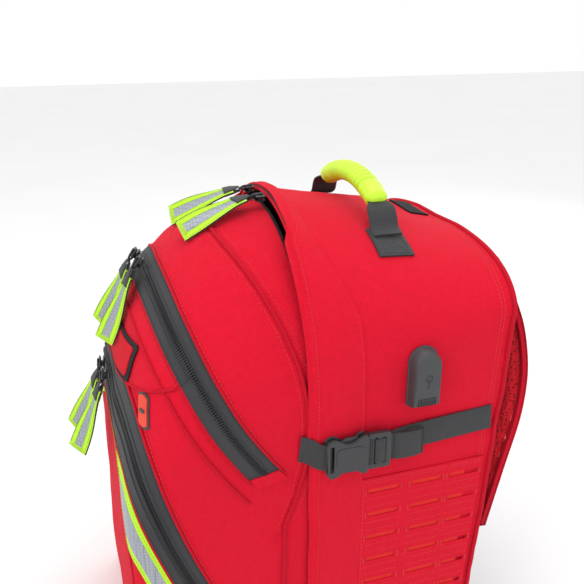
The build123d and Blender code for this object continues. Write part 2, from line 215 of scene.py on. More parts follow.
def normals(form, a, b):
    """Outward unit normals of a form."""
    surface = FORMS[form][0]
    step = 2e-3
    across = surface(a + step, b) - surface(a - step, b)
    along = surface(a, b + step) - surface(a, b - step)
    n = np.cross(across, along)
    n /= np.linalg.norm(n, axis=-1, keepdims=True) + 1e-12
    outward = np.sum(n * (surface(a, b) - MIDDLE[form]), -1, keepdims=True)
    return n * np.where(outward < 0, -1, 1)


def on_form(form, a, b, out=0.0):
    """(points, normals, plain points) on a form with its relief, at a distance outwards."""
    a, b = np.broadcast_arrays(np.asarray(a, float), np.asarray(b, float))
    surface, relief = FORMS[form]
    plain = surface(a, b)
    n = normals(form, a, b)
    height = relief(plain) + out
    return plain + n * height[..., None], n, plain


def solve(function, low, high, steps=44):
    """Where a rising function passes zero, for arrays of brackets."""
    low, high = np.array(low, float), np.array(high, float)
    for _ in range(steps):
        middle = (low + high) / 2
        below = function(middle) < 0
        low, high = np.where(below, middle, low), np.where(below, high, middle)
    return (low + high) / 2


def seam_q(v, seam, offset=0.0):
    """Place q on the lid where an arc crosses it, at a distance in front of the arc."""
    v = np.asarray(v, float)
    offset = np.broadcast_to(offset, v.shape)
    return solve(lambda q: seam_distance(lid(v, q), seam) - offset, np.zeros_like(v), np.ones_like(v))


def even_steps(points, count):
    """Evenly spaced places along a polyline, as fractional indices."""
    length = np.concatenate([[0], np.cumsum(np.linalg.norm(np.diff(points, axis=0), axis=1))])
    return np.interp(np.linspace(0, length[-1], count), length, np.arange(len(points))), length[-1]


def at_places(points, places):
    """Points of a polyline at fractional indices."""
    points = np.asarray(points, float)
    index = np.arange(len(points))
    return np.stack([np.interp(places, index, column) for column in points.T], -1)


def smoothed(path, times):
    """Polyline with its inner points drawn towards their neighbours a number of times."""
    for _ in range(times):
        path[1:-1] = (path[:-2] + 2 * path[1:-1] + path[2:]) / 4
    return path


def seam_v(seam, low, step):
    """Values of v evenly spaced along an arc on the lid, from the left end up and down to the right end."""
    end = solve(lambda v: low - lid(v, seam_q(v, seam))[..., 2], np.array([0.05]), np.array([SIDE_END]))[0]
    v = np.linspace(0.0, end, 400)
    points = lid(v, seam_q(v, seam))
    _, length = even_steps(points, 2)
    places, _ = even_steps(points, max(int(length / step), 2))
    right = np.interp(places, np.arange(len(v)), v)
    return np.concatenate([-right[:0:-1], right])


# ================================================================ meshes
def grid(points, wrap=False):
    """Patch of quads over rows of points, with a map of lengths for woven materials."""
    rows, columns = points.shape[:2]
    steps_a = np.linalg.norm(np.diff(points, axis=0), axis=2).mean(axis=1)
    steps_b = np.linalg.norm(np.diff(points, axis=1), axis=2).mean(axis=0)
    a = np.concatenate([[0], np.cumsum(steps_a)])
    b = np.concatenate([[0], np.cumsum(steps_b)])
    lengths = np.stack(np.meshgrid(a, b, indexing="ij"), -1)
    verts = np.concatenate([points, lengths], -1).reshape(-1, 5)
    index = np.arange(rows * columns).reshape(rows, columns)
    if wrap:
        index = np.concatenate([index, index[:, :1]], 1)
    corners = (index[:-1, :-1], index[:-1, 1:], index[1:, 1:], index[1:, :-1])
    faces = np.stack([c.ravel() for c in corners], -1)
    return verts, [tuple(face) for face in faces.tolist()]


def joined(patches):
    """Several patches as one."""
    verts, faces, start = [], [], 0
    for patch_verts, patch_faces in patches:
        verts.append(patch_verts)
        faces += [tuple(i + start for i in face) for face in patch_faces]
        start += len(patch_verts)
    return np.concatenate(verts), faces


def clipped(patch, values):
    """The part of a patch where the value at its points is above zero, cut along the zero line."""
    verts, faces = patch
    extra, cut, kept = [], {}, []
    for face in faces:
        inside = [values[i] > 0 for i in face]
        if all(inside):
            kept.append(face)
            continue
        if not any(inside):
            continue
        ring = []
        for k, i in enumerate(face):
            j = face[(k + 1) % len(face)]
            if inside[k]:
                ring.append(i)
            if inside[k] != (values[j] > 0):
                key = (min(i, j), max(i, j))
                if key not in cut:
                    share = values[i] / (values[i] - values[j])
                    cut[key] = len(verts) + len(extra)
                    extra.append(verts[i] + share * (verts[j] - verts[i]))
                ring.append(cut[key])
        kept.append(tuple(ring))
    if extra:
        verts = np.concatenate([verts, np.array(extra)])
    used = sorted({i for face in kept for i in face})
    place = {i: k for k, i in enumerate(used)}
    return verts[used], [tuple(place[i] for i in face) for face in kept]


def lofted(rings, downwards=False):
    """Closed solid through a stack of rings, which goes up unless it is said to go downwards."""
    verts, faces = grid(rings, wrap=True)
    count, last = rings.shape[1], len(verts) - rings.shape[1]
    caps = [tuple(range(count))[::-1], tuple(range(last, last + count))]
    return verts, faces + [cap[::-1] if downwards else cap for cap in caps]


def rounded_outline(x_low, x_high, y_low, y_high, radius, steps=4):
    """Points round a rectangle with rounded corners."""
    corners = ((x_high - radius, y_high - radius), (x_low + radius, y_high - radius),
               (x_low + radius, y_low + radius), (x_high - radius, y_low + radius))
    points = []
    for quarter, (x, y) in enumerate(corners):
        start = quarter * math.pi / 2
        for t in np.linspace(start, start + math.pi / 2, steps + 1):
            points.append((x + radius * math.cos(t), y + radius * math.sin(t)))
    return points


def vertex_normals(verts, faces):
    """Area-weighted normals of a patch."""
    total = np.zeros((len(verts), 3))
    for count in (3, 4, 5):
        group = np.array([face for face in faces if len(face) == count])
        if not len(group):
            continue
        p = verts[group][:, :, :3]
        n = np.cross(p[:, 2] - p[:, 0], p[:, -1] - p[:, 1]) if count > 3 else np.cross(
            p[:, 1] - p[:, 0], p[:, 2] - p[:, 0])
        for k in range(count):
            np.add.at(total, group[:, k], n)
    return total / (np.linalg.norm(total, axis=1, keepdims=True) + 1e-12)


def thick(patch, inner, outer=0.0):
    """Closed shell: the patch moved outwards by outer, its copy by inner, and a rim between them."""
    verts, faces = patch
    n = vertex_normals(verts, faces)
    facing = np.sum(n * (verts[:, :3] - verts[:, :3].mean(0)), 1).sum()
    if facing < 0:
        n = -n
        faces = [face[::-1] for face in faces]
    top, bottom = verts.copy(), verts.copy()
    top[:, :3] += n * outer
    bottom[:, :3] += n * inner
    count = len(verts)
    below = [tuple(i + count for i in face[::-1]) for face in faces]
    edges = {}
    for face in faces:
        for k, i in enumerate(face):
            edges[(i, face[(k + 1) % len(face)])] = True
    rim = [(j, i, i + count, j + count) for i, j in edges if (j, i) not in edges]
    return np.concatenate([top, bottom]), faces + below + rim


def frames(points, ups):
    """Tangents, sideways and upward directions along a path."""
    tangents = np.gradient(points, axis=0)
    tangents /= np.linalg.norm(tangents, axis=1, keepdims=True) + 1e-12
    sides = np.cross(tangents, np.broadcast_to(np.asarray(ups, float), points.shape))
    sides /= np.linalg.norm(sides, axis=1, keepdims=True) + 1e-12
    return tangents, sides, np.cross(sides, tangents)


def swept(points, ups, profile, scale=None):
    """Closed tube: a profile of (sideways, upward) points carried along a path."""
    points = np.asarray(points, float)
    profile = np.asarray(profile, float)
    _, sides, ups = frames(points, ups)
    if scale is None:
        scale = np.ones(len(points))
    ring = profile[None] * np.asarray(scale)[:, None, None]
    body = points[:, None] + sides[:, None] * ring[..., :1] + ups[:, None] * ring[..., 1:]
    return lofted(body)


def flat_profile(width, thickness, round_steps=2):
    """Section of a woven strap: flat with rounded edges."""
    r = thickness / 2
    turn = np.linspace(-math.pi / 2, math.pi / 2, round_steps + 2)
    right = [(width / 2 - r + r * math.cos(t), r * math.sin(t)) for t in turn]
    return right + [(-x, -y) for x, y in right]


def round_profile(radius, steps=10):
    return [(radius * math.cos(t), radius * math.sin(t))
            for t in np.linspace(0, 2 * math.pi, steps, endpoint=False)]


def capsules(centres, alongs, ups, length, width, height):
    """Many small rounded bars, such as stitches and zip teeth, in one patch."""
    centres, alongs, ups = (np.asarray(a, float) for a in (centres, alongs, ups))
    alongs = alongs / (np.linalg.norm(alongs, axis=1, keepdims=True) + 1e-12)
    sides = np.cross(alongs, ups)
    sides /= np.linalg.norm(sides, axis=1, keepdims=True) + 1e-12
    ups = np.cross(sides, alongs)
    rings = []
    for place, size in ((-0.5, 0.35), (-0.36, 1.0), (0.36, 1.0), (0.5, 0.35)):
        for t in np.linspace(0, 2 * math.pi, 6, endpoint=False):
            rings.append(alongs * (place * length) + sides * (size * width / 2 * math.cos(t))
                         + ups * (size * height / 2 * math.sin(t)))
    body = centres[:, None] + np.stack(rings, 1)
    verts = np.concatenate([body.reshape(-1, 3), np.zeros((body.shape[0] * 24, 2))], 1)
    template = [(r * 6 + k, r * 6 + (k + 1) % 6, r * 6 + 6 + (k + 1) % 6, r * 6 + 6 + k)
                for r in range(3) for k in range(6)]
    template += [tuple(range(6))[::-1], tuple(range(18, 24))]
    return verts, [tuple(i + 24 * n for i in face) for n in range(len(centres)) for face in template]


def make_piece(name, patch, material, body, replaced=(), angle=42.0):
    """Blender object from a patch; it rides on a body and takes its finish from a slot."""
    verts, faces = patch
    mesh = bpy.data.meshes.new(name)
    mesh.from_pydata((verts[:, :3] * MM).tolist(), [], faces)
    layer = mesh.uv_layers.new(name="lengths")
    index = np.zeros(len(mesh.loops), np.int32)
    mesh.loops.foreach_get("vertex_index", index)
    layer.data.foreach_set("uv", (verts[index, 3:5] * MM).astype(np.float32).ravel())
    mesh.validate()
    mesh.shade_smooth()
    mesh.set_sharp_from_angle(angle=math.radians(angle))
    mesh.materials.append(material)
    piece = bpy.data.objects.new(name, mesh)
    bpy.context.scene.collection.objects.link(piece)
    if body:
        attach(piece, body)
    if replaced:
        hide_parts(*replaced)
    return piece


def mirror_patch(patch):
    """Patch on the other side of the bag."""
    verts, faces = patch
    verts = verts.copy()
    verts[:, 0] *= -1
    return verts, [face[::-1] for face in faces]


SIDES = (("right", 1), ("left", -1))


def make_pair(stem, patch, material, body, replaced=(), angle=42.0):
    """A right-hand piece and its mirror image; {side} in a name stands for the side."""
    for side, sign in SIDES:
        shape = patch if sign > 0 else mirror_patch(patch)
        make_piece(f"{stem}_{side}", shape, material, body.format(side=side),
                   [node.format(side=side) for node in replaced], angle)


# ================================================================ materials
def nodes_of(name):
    """New material and its node tree, with the principled shader."""
    material = bpy.data.materials.new(name)
    material.use_nodes = True
    tree = material.node_tree
    return material, tree, tree.nodes["Principled BSDF"]


def add(tree, kind, inputs=(), **settings):
    """Node with its settings, input values and links."""
    node = tree.nodes.new(kind)
    for key, value in settings.items():
        setattr(node, key, value)
    for key, value in dict(inputs).items():
        if isinstance(value, bpy.types.NodeSocket):
            tree.links.new(value, node.inputs[key])
        else:
            node.inputs[key].default_value = value
    return node


def maths(tree, operation, first, second=0.0):
    return add(tree, "ShaderNodeMath", {0: first, 1: second}, operation=operation).outputs[0]


def noise(tree, vector, scale, detail=3.0):
    inputs = {"Vector": vector, "Scale": scale, "Detail": detail}
    return add(tree, "ShaderNodeTexNoise", inputs).outputs["Fac"]


def wave(tree, vector, direction, pitch, distortion=0.0):
    """Bands across one direction, with their pitch in metres."""
    inputs = {"Vector": vector, "Scale": 2 * math.pi / (20 * pitch), "Distortion": distortion}
    return add(tree, "ShaderNodeTexWave", inputs, bands_direction=direction).outputs["Fac"]


def mix(tree, share, first, second):
    """Blend of two colours."""
    node = add(tree, "ShaderNodeMix", {0: share}, data_type="RGBA")
    for socket, value in ((6, first), (7, second)):
        if isinstance(value, bpy.types.NodeSocket):
            tree.links.new(value, node.inputs[socket])
        else:
            node.inputs[socket].default_value = (*value, 1.0)
    return node.outputs[2]


def bumped(tree, shader, height, strength, distance):
    inputs = {"Height": height, "Strength": strength, "Distance": distance}
    bump = add(tree, "ShaderNodeBump", inputs)
    tree.links.new(bump.outputs[0], shader.inputs["Normal"])


def tinted(rgb, factor):
    return tuple(c * factor for c in rgb)


def finish_shader(tree, shader, colour, roughness, vector, spread=0.08):
    """Colour, and roughness that varies a little over the surface."""
    tree.links.new(colour, shader.inputs["Base Color"])
    patchy = noise(tree, vector, 60.0)
    value = maths(tree, "ADD", maths(tree, "MULTIPLY", patchy, spread), roughness - spread / 2)
    tree.links.new(value, shader.inputs["Roughness"])


def fabric(name, rgb, pitch=0.0011, roughness=0.82, sheen=0.02, relief=0.75):
    """Plain-woven cloth: threads across each axis that the surface doesn't face, mottling and dark specks."""
    material, tree, shader = nodes_of(name)
    coordinates = add(tree, "ShaderNodeTexCoord")
    place, facing = coordinates.outputs["Object"], coordinates.outputs["Normal"]
    parts = add(tree, "ShaderNodeSeparateXYZ", {0: facing})
    height = None
    for axis in "XYZ":
        squared = maths(tree, "MULTIPLY", parts.outputs[axis], parts.outputs[axis])
        weight = maths(tree, "SUBTRACT", 1.0, squared)
        threads = maths(tree, "MULTIPLY", wave(tree, place, axis, pitch, 0.4), weight)
        height = threads if height is None else maths(tree, "ADD", height, threads)
    grain = noise(tree, place, 1400.0, 2.0)
    height = maths(tree, "ADD", height, grain)
    mottle = noise(tree, place, 170.0, 4.0)
    shade = mix(tree, mottle, tinted(rgb, 0.86), tinted(rgb, 1.1))
    speck = maths(tree, "MULTIPLY", maths(tree, "ADD", grain, noise(tree, place, 620.0, 2.0)), 0.3)
    shade = mix(tree, speck, shade, tinted(rgb, 0.6))
    broad = maths(tree, "MULTIPLY", noise(tree, place, 9.0), 0.18)
    shade = mix(tree, broad, shade, tinted(rgb, 0.8))
    finish_shader(tree, shader, shade, roughness, place)
    shader.inputs["Specular IOR Level"].default_value = 0.15
    shader.inputs["Sheen Weight"].default_value = sheen
    shader.inputs["Sheen Roughness"].default_value = 0.4
    bumped(tree, shader, height, relief, 0.0003)
    return material


def webbing(name, rgb, rib=0.0021, roughness=0.7):
    """Woven strap: fine ribs across its length and a herringbone of threads, with the rib crests painted
    lighter as a painted highlight and the troughs darker as painted shade.
    """
    material, tree, shader = nodes_of(name)
    coordinates = add(tree, "ShaderNodeTexCoord")
    lengths, place = coordinates.outputs["UV"], coordinates.outputs["Object"]
    ribs = wave(tree, lengths, "X", rib)
    threads = wave(tree, lengths, "Y", rib * 0.8)
    height = maths(tree, "ADD", ribs, maths(tree, "MULTIPLY", threads, 0.7))
    grain = noise(tree, place, 1100.0)
    # colour follows the ribs: painted highlight on their crests, painted shade in the troughs
    shade = mix(tree, ribs, tinted(rgb, 0.7), tinted(rgb, 1.25))
    shade = mix(tree, maths(tree, "MULTIPLY", grain, 0.5), shade, tinted(rgb, 0.8))
    finish_shader(tree, shader, shade, roughness, place)
    shader.inputs["Sheen Weight"].default_value = 0.04
    bumped(tree, shader, maths(tree, "ADD", height, grain), 0.6, 0.0004)
    return material


def moulded(name, rgb, roughness=0.42, grain_scale=900.0, relief=0.12, metallic=0.0):
    """Moulded plastic, rubber or plated metal: fine grain, slight blotches and rubbed spots."""
    material, tree, shader = nodes_of(name)
    place = add(tree, "ShaderNodeTexCoord").outputs["Object"]
    grain = noise(tree, place, grain_scale, 2.0)
    blotch = noise(tree, place, 45.0, 4.0)
    shade = mix(tree, blotch, tinted(rgb, 0.88), tinted(rgb, 1.12))
    rub = maths(tree, "MULTIPLY", maths(tree, "GREATER_THAN", noise(tree, place, 240.0), 0.68), 0.3)
    shade = mix(tree, rub, shade, tinted(rgb, 1.35))
    finish_shader(tree, shader, shade, roughness, place, 0.14)
    shader.inputs["Metallic"].default_value = metallic
    bumped(tree, shader, grain, relief, 0.0002)
    return material


def spacer_mesh(name, rgb):
    """Knitted air mesh: small rounded holes, each painted dark as painted shade in the recess, in a slightly
    lighter knit.
    """
    material, tree, shader = nodes_of(name)
    place = add(tree, "ShaderNodeTexCoord").outputs["Object"]
    cells = add(tree, "ShaderNodeTexVoronoi", {"Vector": place, "Scale": 330.0, "Randomness": 0.35})
    hole = cells.outputs["Distance"]
    rim = add(tree, "ShaderNodeMapRange", {"Value": hole, "From Min": 0.18, "From Max": 0.42})
    # dark holes: painted shade in the recesses of the knit
    shade = mix(tree, rim.outputs[0], tinted(rgb, 0.25), tinted(rgb, 1.2))
    finish_shader(tree, shader, shade, 0.85, place)
    bumped(tree, shader, rim.outputs[0], 0.8, 0.0006)
    return material


def reflective(name, rgb, pitch=0.0016):
    """Silver reflective tape: a honeycomb of fine cells with a metallic sheen."""
    material, tree, shader = nodes_of(name)
    coordinates = add(tree, "ShaderNodeTexCoord")
    place = coordinates.outputs["Object"]
    cells = add(tree, "ShaderNodeTexVoronoi", {"Vector": place, "Scale": 0.5 / pitch, "Randomness": 0.1},
                feature="DISTANCE_TO_EDGE")
    wall = maths(tree, "LESS_THAN", cells.outputs["Distance"], 0.06)
    shade = mix(tree, wall, rgb, tinted(rgb, 0.6))
    shade = mix(tree, maths(tree, "MULTIPLY", noise(tree, place, 120.0), 0.3), shade, tinted(rgb, 0.75))
    finish_shader(tree, shader, shade, 0.42, place, 0.12)
    shader.inputs["Metallic"].default_value = 0.35
    bumped(tree, shader, cells.outputs["Distance"], 0.25, 0.0003)
    return material


RED = fabric("red_cordura", (0.80, 0.006, 0.030))
# lighter copy of the red cloth: painted highlight for the load panel slots
RED_PAINTED_HIGHLIGHT = fabric("red_painted_highlight", (0.88, 0.035, 0.03))
RED_BINDING = fabric("red_binding", (0.62, 0.005, 0.024), pitch=0.0013)
RED_THREAD = moulded("red_thread", (0.66, 0.03, 0.045), 0.7)
RED_MESH = spacer_mesh("red_spacer_mesh", (0.72, 0.006, 0.02))
BLACK_THREAD = moulded("black_thread", (0.02, 0.02, 0.022), 0.7)
GREY_THREAD = moulded("grey_thread", (0.085, 0.085, 0.09), 0.7)
LINING = fabric("grey_lining", (0.10, 0.10, 0.11), pitch=0.0009, roughness=0.75)
BLACK_FABRIC = fabric("black_cordura", (0.022, 0.022, 0.025), pitch=0.0012)
TAPE = webbing("zip_tape_weave", (0.035, 0.036, 0.040), rib=0.0009)
COIL = moulded("zip_coil", (0.018, 0.018, 0.02), 0.35)
STRAP = webbing("black_webbing_weave", (0.030, 0.031, 0.034))
PLASTIC = moulded("black_acetal", (0.028, 0.029, 0.032), 0.38)
RUBBER_BLACK = moulded("soft_black_rubber", (0.045, 0.047, 0.052), 0.55)
NEON = webbing("neon_binding", (0.56, 0.95, 0.02), rib=0.0012, roughness=0.6)
NEON_RUBBER = moulded("neon_rubber", (0.55, 0.92, 0.03), 0.4, relief=0.2)
SILVER = reflective("silver_reflective", (0.36, 0.39, 0.44))
METAL = moulded("black_plated_metal", (0.05, 0.05, 0.055), 0.28, metallic=0.85)
STEEL = moulded("socket_steel", (0.55, 0.56, 0.58), 0.25, metallic=0.9)
MESH = spacer_mesh("spacer_mesh_knit", (0.035, 0.036, 0.04))
BADGE = moulded("orange_rubber", (0.75, 0.045, 0.012), 0.5)
LOOP = fabric("loop_pile", (0.03, 0.03, 0.033), pitch=0.0017, roughness=0.95, relief=0.9)
RED_LOOP = fabric("red_loop_pile", (0.70, 0.012, 0.028), pitch=0.0017, roughness=0.95, relief=0.9)


# ================================================================ rows along the forms
def form_patch(form, a, b, out=0.0):
    """Patch over a form at the crossings of two rows of parameters."""
    a, b = np.meshgrid(a, b, indexing="ij")
    points, _, plain = on_form(form, a, b, out)
    return grid(points), plain.reshape(-1, 3)


def stitch_row(form, a, b, out, length=3.2, pitch=4.6, width=0.75):
    """Stitches along a line on a form."""
    points, n, _ = on_form(form, a, b, out)
    _, total = even_steps(points, 2)
    places, _ = even_steps(points, max(int(total / pitch), 3))
    centres = at_places(points, places)
    return capsules(centres, np.gradient(centres, axis=0), at_places(n, places), length, width, width)


def straight_stitches(start, end, up, pitch=3.2, length=2.3, width=0.7):
    """Stitches along a straight line."""
    start, end = np.array(start, float), np.array(end, float)
    count = max(int(np.linalg.norm(end - start) / pitch), 2)
    centres = start + (end - start) * ((np.arange(count) + 0.5) / count)[:, None]
    alongs, ups = np.broadcast_to(end - start, centres.shape), np.broadcast_to(up, centres.shape)
    return capsules(centres, alongs, ups, length, width, width)


def bead(form, a, b, out, radius):
    """Round piping along a line on a form."""
    points, n, _ = on_form(form, a, b, out)
    return swept(points, n, round_profile(radius))


# ================================================================ rear compartment
SIDE_V = np.unique(np.concatenate([
    np.linspace(0, FLAT_END, 3), np.linspace(FLAT_END, SHOULDER_END, 70),
    np.linspace(SHOULDER_END, SIDE_END, 64), np.linspace(SIDE_END, CORNER_END, 9),
    np.linspace(CORNER_END, 1, 24),
]))
WHOLE_V = np.concatenate([-SIDE_V[:0:-1], SIDE_V])
REAR_FOOT_V = SHOULDER_END + (SIDE_END - SHOULDER_END) * (340 - SIDE_FOOT) / (340 - 27)
RISE_V = np.linspace(-REAR_FOOT_V, REAR_FOOT_V, 260)


def make_rear_shell():
    """Red outside, grey lining, mesh back, and the piping and stitches of the back seam."""
    outside, _ = form_patch("rear", WHOLE_V, np.linspace(0, 1, 46))
    shell = thick(outside, -3.0)
    make_piece("rear_shell_fabric", shell, RED, "rear_shell", ["main_shell"])
    lining, _ = form_patch("rear", WHOLE_V, np.linspace(0.02, 1, 24), -3.6)
    make_piece("rear_shell_lining", thick(lining, -0.6), LINING, "rear_shell")

    share = np.concatenate([np.linspace(1, 1.12, 8), np.linspace(1.2, 1.998, 20)])
    back, plain = form_patch("rear", WHOLE_V, share)
    back = clipped(back, plain[:, 2])
    make_piece("back_panel_mesh", thick(back, -3.0), MESH, "rear_shell")

    seam = np.full_like(WHOLE_V, 1.0)
    keep = on_form("rear", WHOLE_V, seam)[0][:, 2] > 26
    edge = bead("rear", WHOLE_V[keep], seam[keep], 0.9, 2.3)
    make_piece("back_seam_piping", edge, RED_BINDING, "rear_shell", ["back_piping"])
    rows = []
    for back_off in (9.0, 12.5):
        y_seam = on_form("rear", RISE_V, 1.0)[2][:, 1]
        rows.append(stitch_row("rear", RISE_V, rear_share(RISE_V, y_seam - back_off), 0.15, 2.8, 4.0, 0.6))
    make_piece("back_seam_stitches", joined(rows), RED_THREAD, "rear_shell")


def flap_line():
    """Y of the line where the storm flap is sewn down: it leans back towards the sides."""
    height = on_form("rear", RISE_V, 0.1)[2][:, 2]
    side = np.clip((470 - height) / 60, 0, 1)
    return -27.0 + 24.0 * side ** 0.8


def make_storm_flap():
    """Loose fabric flap over the main zip, sewn down behind with two rows."""
    sewn = flap_line()
    edge = on_form("rear", RISE_V, 0.0)[2]
    dice = ripple(edge, 60, 21)
    height = edge[:, 2]
    crown = np.clip((height - 466) / 13, 0, 1)
    front = SEAM_Y - 6.5 + 8.0 * crown * crown * (3 - 2 * crown) + 0.9 * dice
    rows = []
    for t in np.linspace(0, 1, 15):
        y = front + (sewn - front) * t
        lift = 2.5 + 1.2 * math.sin(min(t * 1.25, 1) * math.pi) - 2.0 * np.clip((t - 0.7) / 0.3, 0, 1)
        lift = lift + 0.4 * dice * (1 - t)
        place = rear_share(RISE_V, y)
        row = on_form("rear", RISE_V, place)[0] + normals("rear", RISE_V, place) * np.reshape(lift, (-1, 1))
        row[:, 1] += np.minimum(y - SEAM_Y, 0)
        rows.append(row)
    flap = grid(np.stack(rows, 1))
    make_piece("storm_flap_fabric", thick(flap, -0.5, 0.6), RED, "rear_shell", ["storm_flap"])
    hem = swept(rows[0], normals("rear", RISE_V, rear_share(RISE_V, front)), round_profile(1.15, 8))
    make_piece("storm_flap_hem", hem, RED, "rear_shell")
    lines = [stitch_row("rear", RISE_V, rear_share(RISE_V, sewn - 2.2), 1.1, 3.0, 4.4, 0.7),
             stitch_row("rear", RISE_V, rear_share(RISE_V, front + 8), 4.5, 2.6, 3.8, 0.5)]
    make_piece("storm_flap_stitches", joined(lines), RED_THREAD, "rear_shell")


def make_main_zip():
    """Both halves of the main zip: a tape and a row of coil on the rear shell and on the lid."""
    rows = [on_form("rear", RISE_V, rear_share(RISE_V, SEAM_Y + y), 0.7)[0] for y in np.linspace(0.4, 11, 5)]
    tape = thick(grid(np.stack(rows, 1)), -0.4, 0.4)
    make_piece("main_zip_tape_rear", tape, TAPE, "rear_shell", ["zip_tape_rear"])
    rows = [on_form("lid", RISE_V, place, out)[0] + np.array([0, -0.5, 0])
            for out, place in ((-0.4, 0.0), (0.3, 0.003), (0.3, 0.006))]
    tape = thick(grid(np.stack(rows, 1)), -0.5, 0.3)
    make_piece("main_zip_tape_lid", tape, TAPE, "front_lid", ["zip_tape_lid"])
    for name, form, body, y, out in (("rear", "rear", "rear_shell", SEAM_Y + 1.5, 1.0),
                                     ("lid", "lid", "front_lid", SEAM_Y - 1.6, 1.0)):
        place = rear_share(RISE_V, y) if form == "rear" else 0.004
        points, n, _ = on_form(form, RISE_V, place, out)
        _, total = even_steps(points, 2)
        places, _ = even_steps(points, int(total / 2.4))
        centres = at_places(points, places)
        if form == "lid":
            centres[:, 1] -= 1.2
        along = np.broadcast_to([0.0, 1.0, 0.0], centres.shape)
        teeth = capsules(centres, along, at_places(n, places), 3.0, 1.5, 1.5)
        make_piece(f"main_zip_coil_{name}", teeth, COIL, body)


def make_base():
    """Coated panel under the rear compartment, turned up at its edge."""
    half = HALF_WIDTH - 17
    ring = np.array(rounded_outline(-half, half, SEAM_Y + 4, BACK_BASE_Y - 4, 12.0, 5))
    middle = ring.mean(0)
    rings = []
    for size, z in ((1.0, 2.8), (1.0, 0.7), (0.992, 0.1), (0.6, 0.05), (0.05, 0.05)):
        flat = middle + (ring - middle) * size
        rings.append(np.concatenate([flat, np.full((len(flat), 1), z)], 1))
    panel = lofted(np.stack(rings), downwards=True)
    make_piece("base_panel_coated", panel, BLACK_FABRIC, "rear_shell", ["base_panel"])


def make_load_panels():
    """Laser-cut panels: rows of slots through the red cloth onto a backing of a lighter red, a painted
    highlight seen in the slots.
    """
    slots = (18.5, 62.0, 100.5)
    length, height, pitch, top, row_count = 31.0, 4.6, 25.4, 248.0, 8
    panel_top, panel_front = 262.0, -4.0
    outside = HALF_WIDTH + 1.6
    sewn_x = outside + 0.1
    outwards = (1, 0, 0)

    def slot_end(y, z):
        return min(y + length / 2, BACK_BASE_Y - 12 + z * BACK_LEAN)

    def stitches(start, end, pitch=4.0, length=2.8, width=0.6):
        return straight_stitches((sewn_x, *start), (sewn_x, *end), outwards, pitch, length, width)

    slot_heights = [top - row * pitch for row in range(row_count)]
    holes = [rounded_outline(y - length / 2, slot_end(y, z), z - height / 2, z + height / 2, height * 0.49, 4)
             for z in slot_heights for y in slots]
    back_low = BACK_BASE_Y - 8 + SIDE_FOOT * BACK_LEAN
    back_high = BACK_BASE_Y - 8 + panel_top * BACK_LEAN
    outline = [(panel_front, SIDE_FOOT), (back_low, SIDE_FOOT),
               (back_high, panel_top), (panel_front, panel_top)]
    sheet = moved(outline_solid(outline, 1.1, 0.35, holes), outside - 0.5)
    make_pair("load_panel_fabric", sheet, RED, "rear_shell", ["load_panel_{side}"])
    # lighter red sheet behind the slots: painted highlight
    backing = grid(np.array([[(HALF_WIDTH + 0.35, y, z) for z in np.linspace(261, 41, 12)]
                             for y in (-3.0, 30.0, 70.0, BACK_BASE_Y - 10)]))
    make_pair("load_panel_backing", thick(backing, -0.15, 0.1), RED_PAINTED_HIGHLIGHT, "rear_shell")
    sewn = []
    for row in range(row_count + 1):
        for y in slots:
            for beside in (-4.2, 4.2):
                z = top - (row - 0.5) * pitch + beside
                start, end = (y - length / 2 - 2, z), (slot_end(y, z - beside) + 2, z)
                if SIDE_FOOT + 4 < z < 259:
                    sewn.append(stitches(start, end, 3.6, 2.6, 0.5))
    for z in slot_heights:
        for y in slots:
            for end_y in (y - length / 2 - 2.2, slot_end(y, z) + 2.2):
                sewn.append(stitches((end_y, z - 3.2), (end_y, z + 3.2), 1.3, 1.2, 1.4))
    sewn.append(stitches((-1.0, 259.0), (BACK_BASE_Y + 6, 259.0)))
    sewn.append(stitches((-1.5, 258.0), (-1.5, SIDE_FOOT + 3)))
    make_pair("load_panel_stitches", joined(sewn), RED_THREAD, "rear_shell")


# ================================================================ front lid
LID_V = WHOLE_V
LOFT_Q = np.concatenate([np.linspace(0, 0.02, 3), np.linspace(0.035, 1, 62)])
FRONT_Q = np.concatenate([np.linspace(1.015, 1.2, 8), np.linspace(1.24, 1.998, 27)])


def fold_distance(points, hinge, cut):
    """Height in the side view above the fold line between a hinge and the end of a zip."""
    slope = (cut[1] - hinge[1]) / (cut[0] - hinge[0])
    return points[..., 2] - (hinge[1] + slope * (points[..., 1] - hinge[0]))


def in_upper_pocket(points, zip_margin=0.0, fold_margin=0.0):
    """Positive on the flap of the upper pocket, less a margin at its zip and at its fold."""
    zip_side = seam_distance(points, UPPER_ZIP) - zip_margin
    return np.minimum(zip_side, fold_distance(points, UPPER_HINGE, UPPER_CUT) - fold_margin)


def in_lower_pocket(points, zip_margin=0.0, fold_margin=0.0):
    """Positive on the face of the lower pocket, less a margin at its zip and at its fold."""
    zip_side = seam_distance(points, LOWER_ZIP) - zip_margin
    lower = fold_distance(points, LOWER_HINGE, LOWER_ZIP[2]) - fold_margin
    below_upper = UPPER_HINGE[1] - 9 - points[..., 2]
    return np.minimum(np.minimum(zip_side, lower), below_upper)


def clear_of_zip(points, seam, low):
    """Positive away from a zip's coil, above the zip's lower ends."""
    gap = np.abs(seam_distance(points, seam)) - ZIP_MARGIN
    return np.where(points[..., 2] > low, gap, 50.0)


def lid_piece(name, region, body, material, replaced=(), out=0.0, wall=-2.6, lining=None):
    """Part of the lid's fabric inside a region, with its own lining."""
    patch, plain = form_patch("lid", LID_V, np.concatenate([LOFT_Q, FRONT_Q]), out)
    cut = clipped(patch, region(plain))
    make_piece(name, thick(cut, wall), material, body, replaced)
    if lining:
        inner, plain = form_patch("lid", LID_V, np.concatenate([LOFT_Q, FRONT_Q]), out + wall - 0.5)
        inner = clipped(inner, region(plain) - 0.8)
        make_piece(f"{name}_lining", thick(inner, -0.4), lining, body)


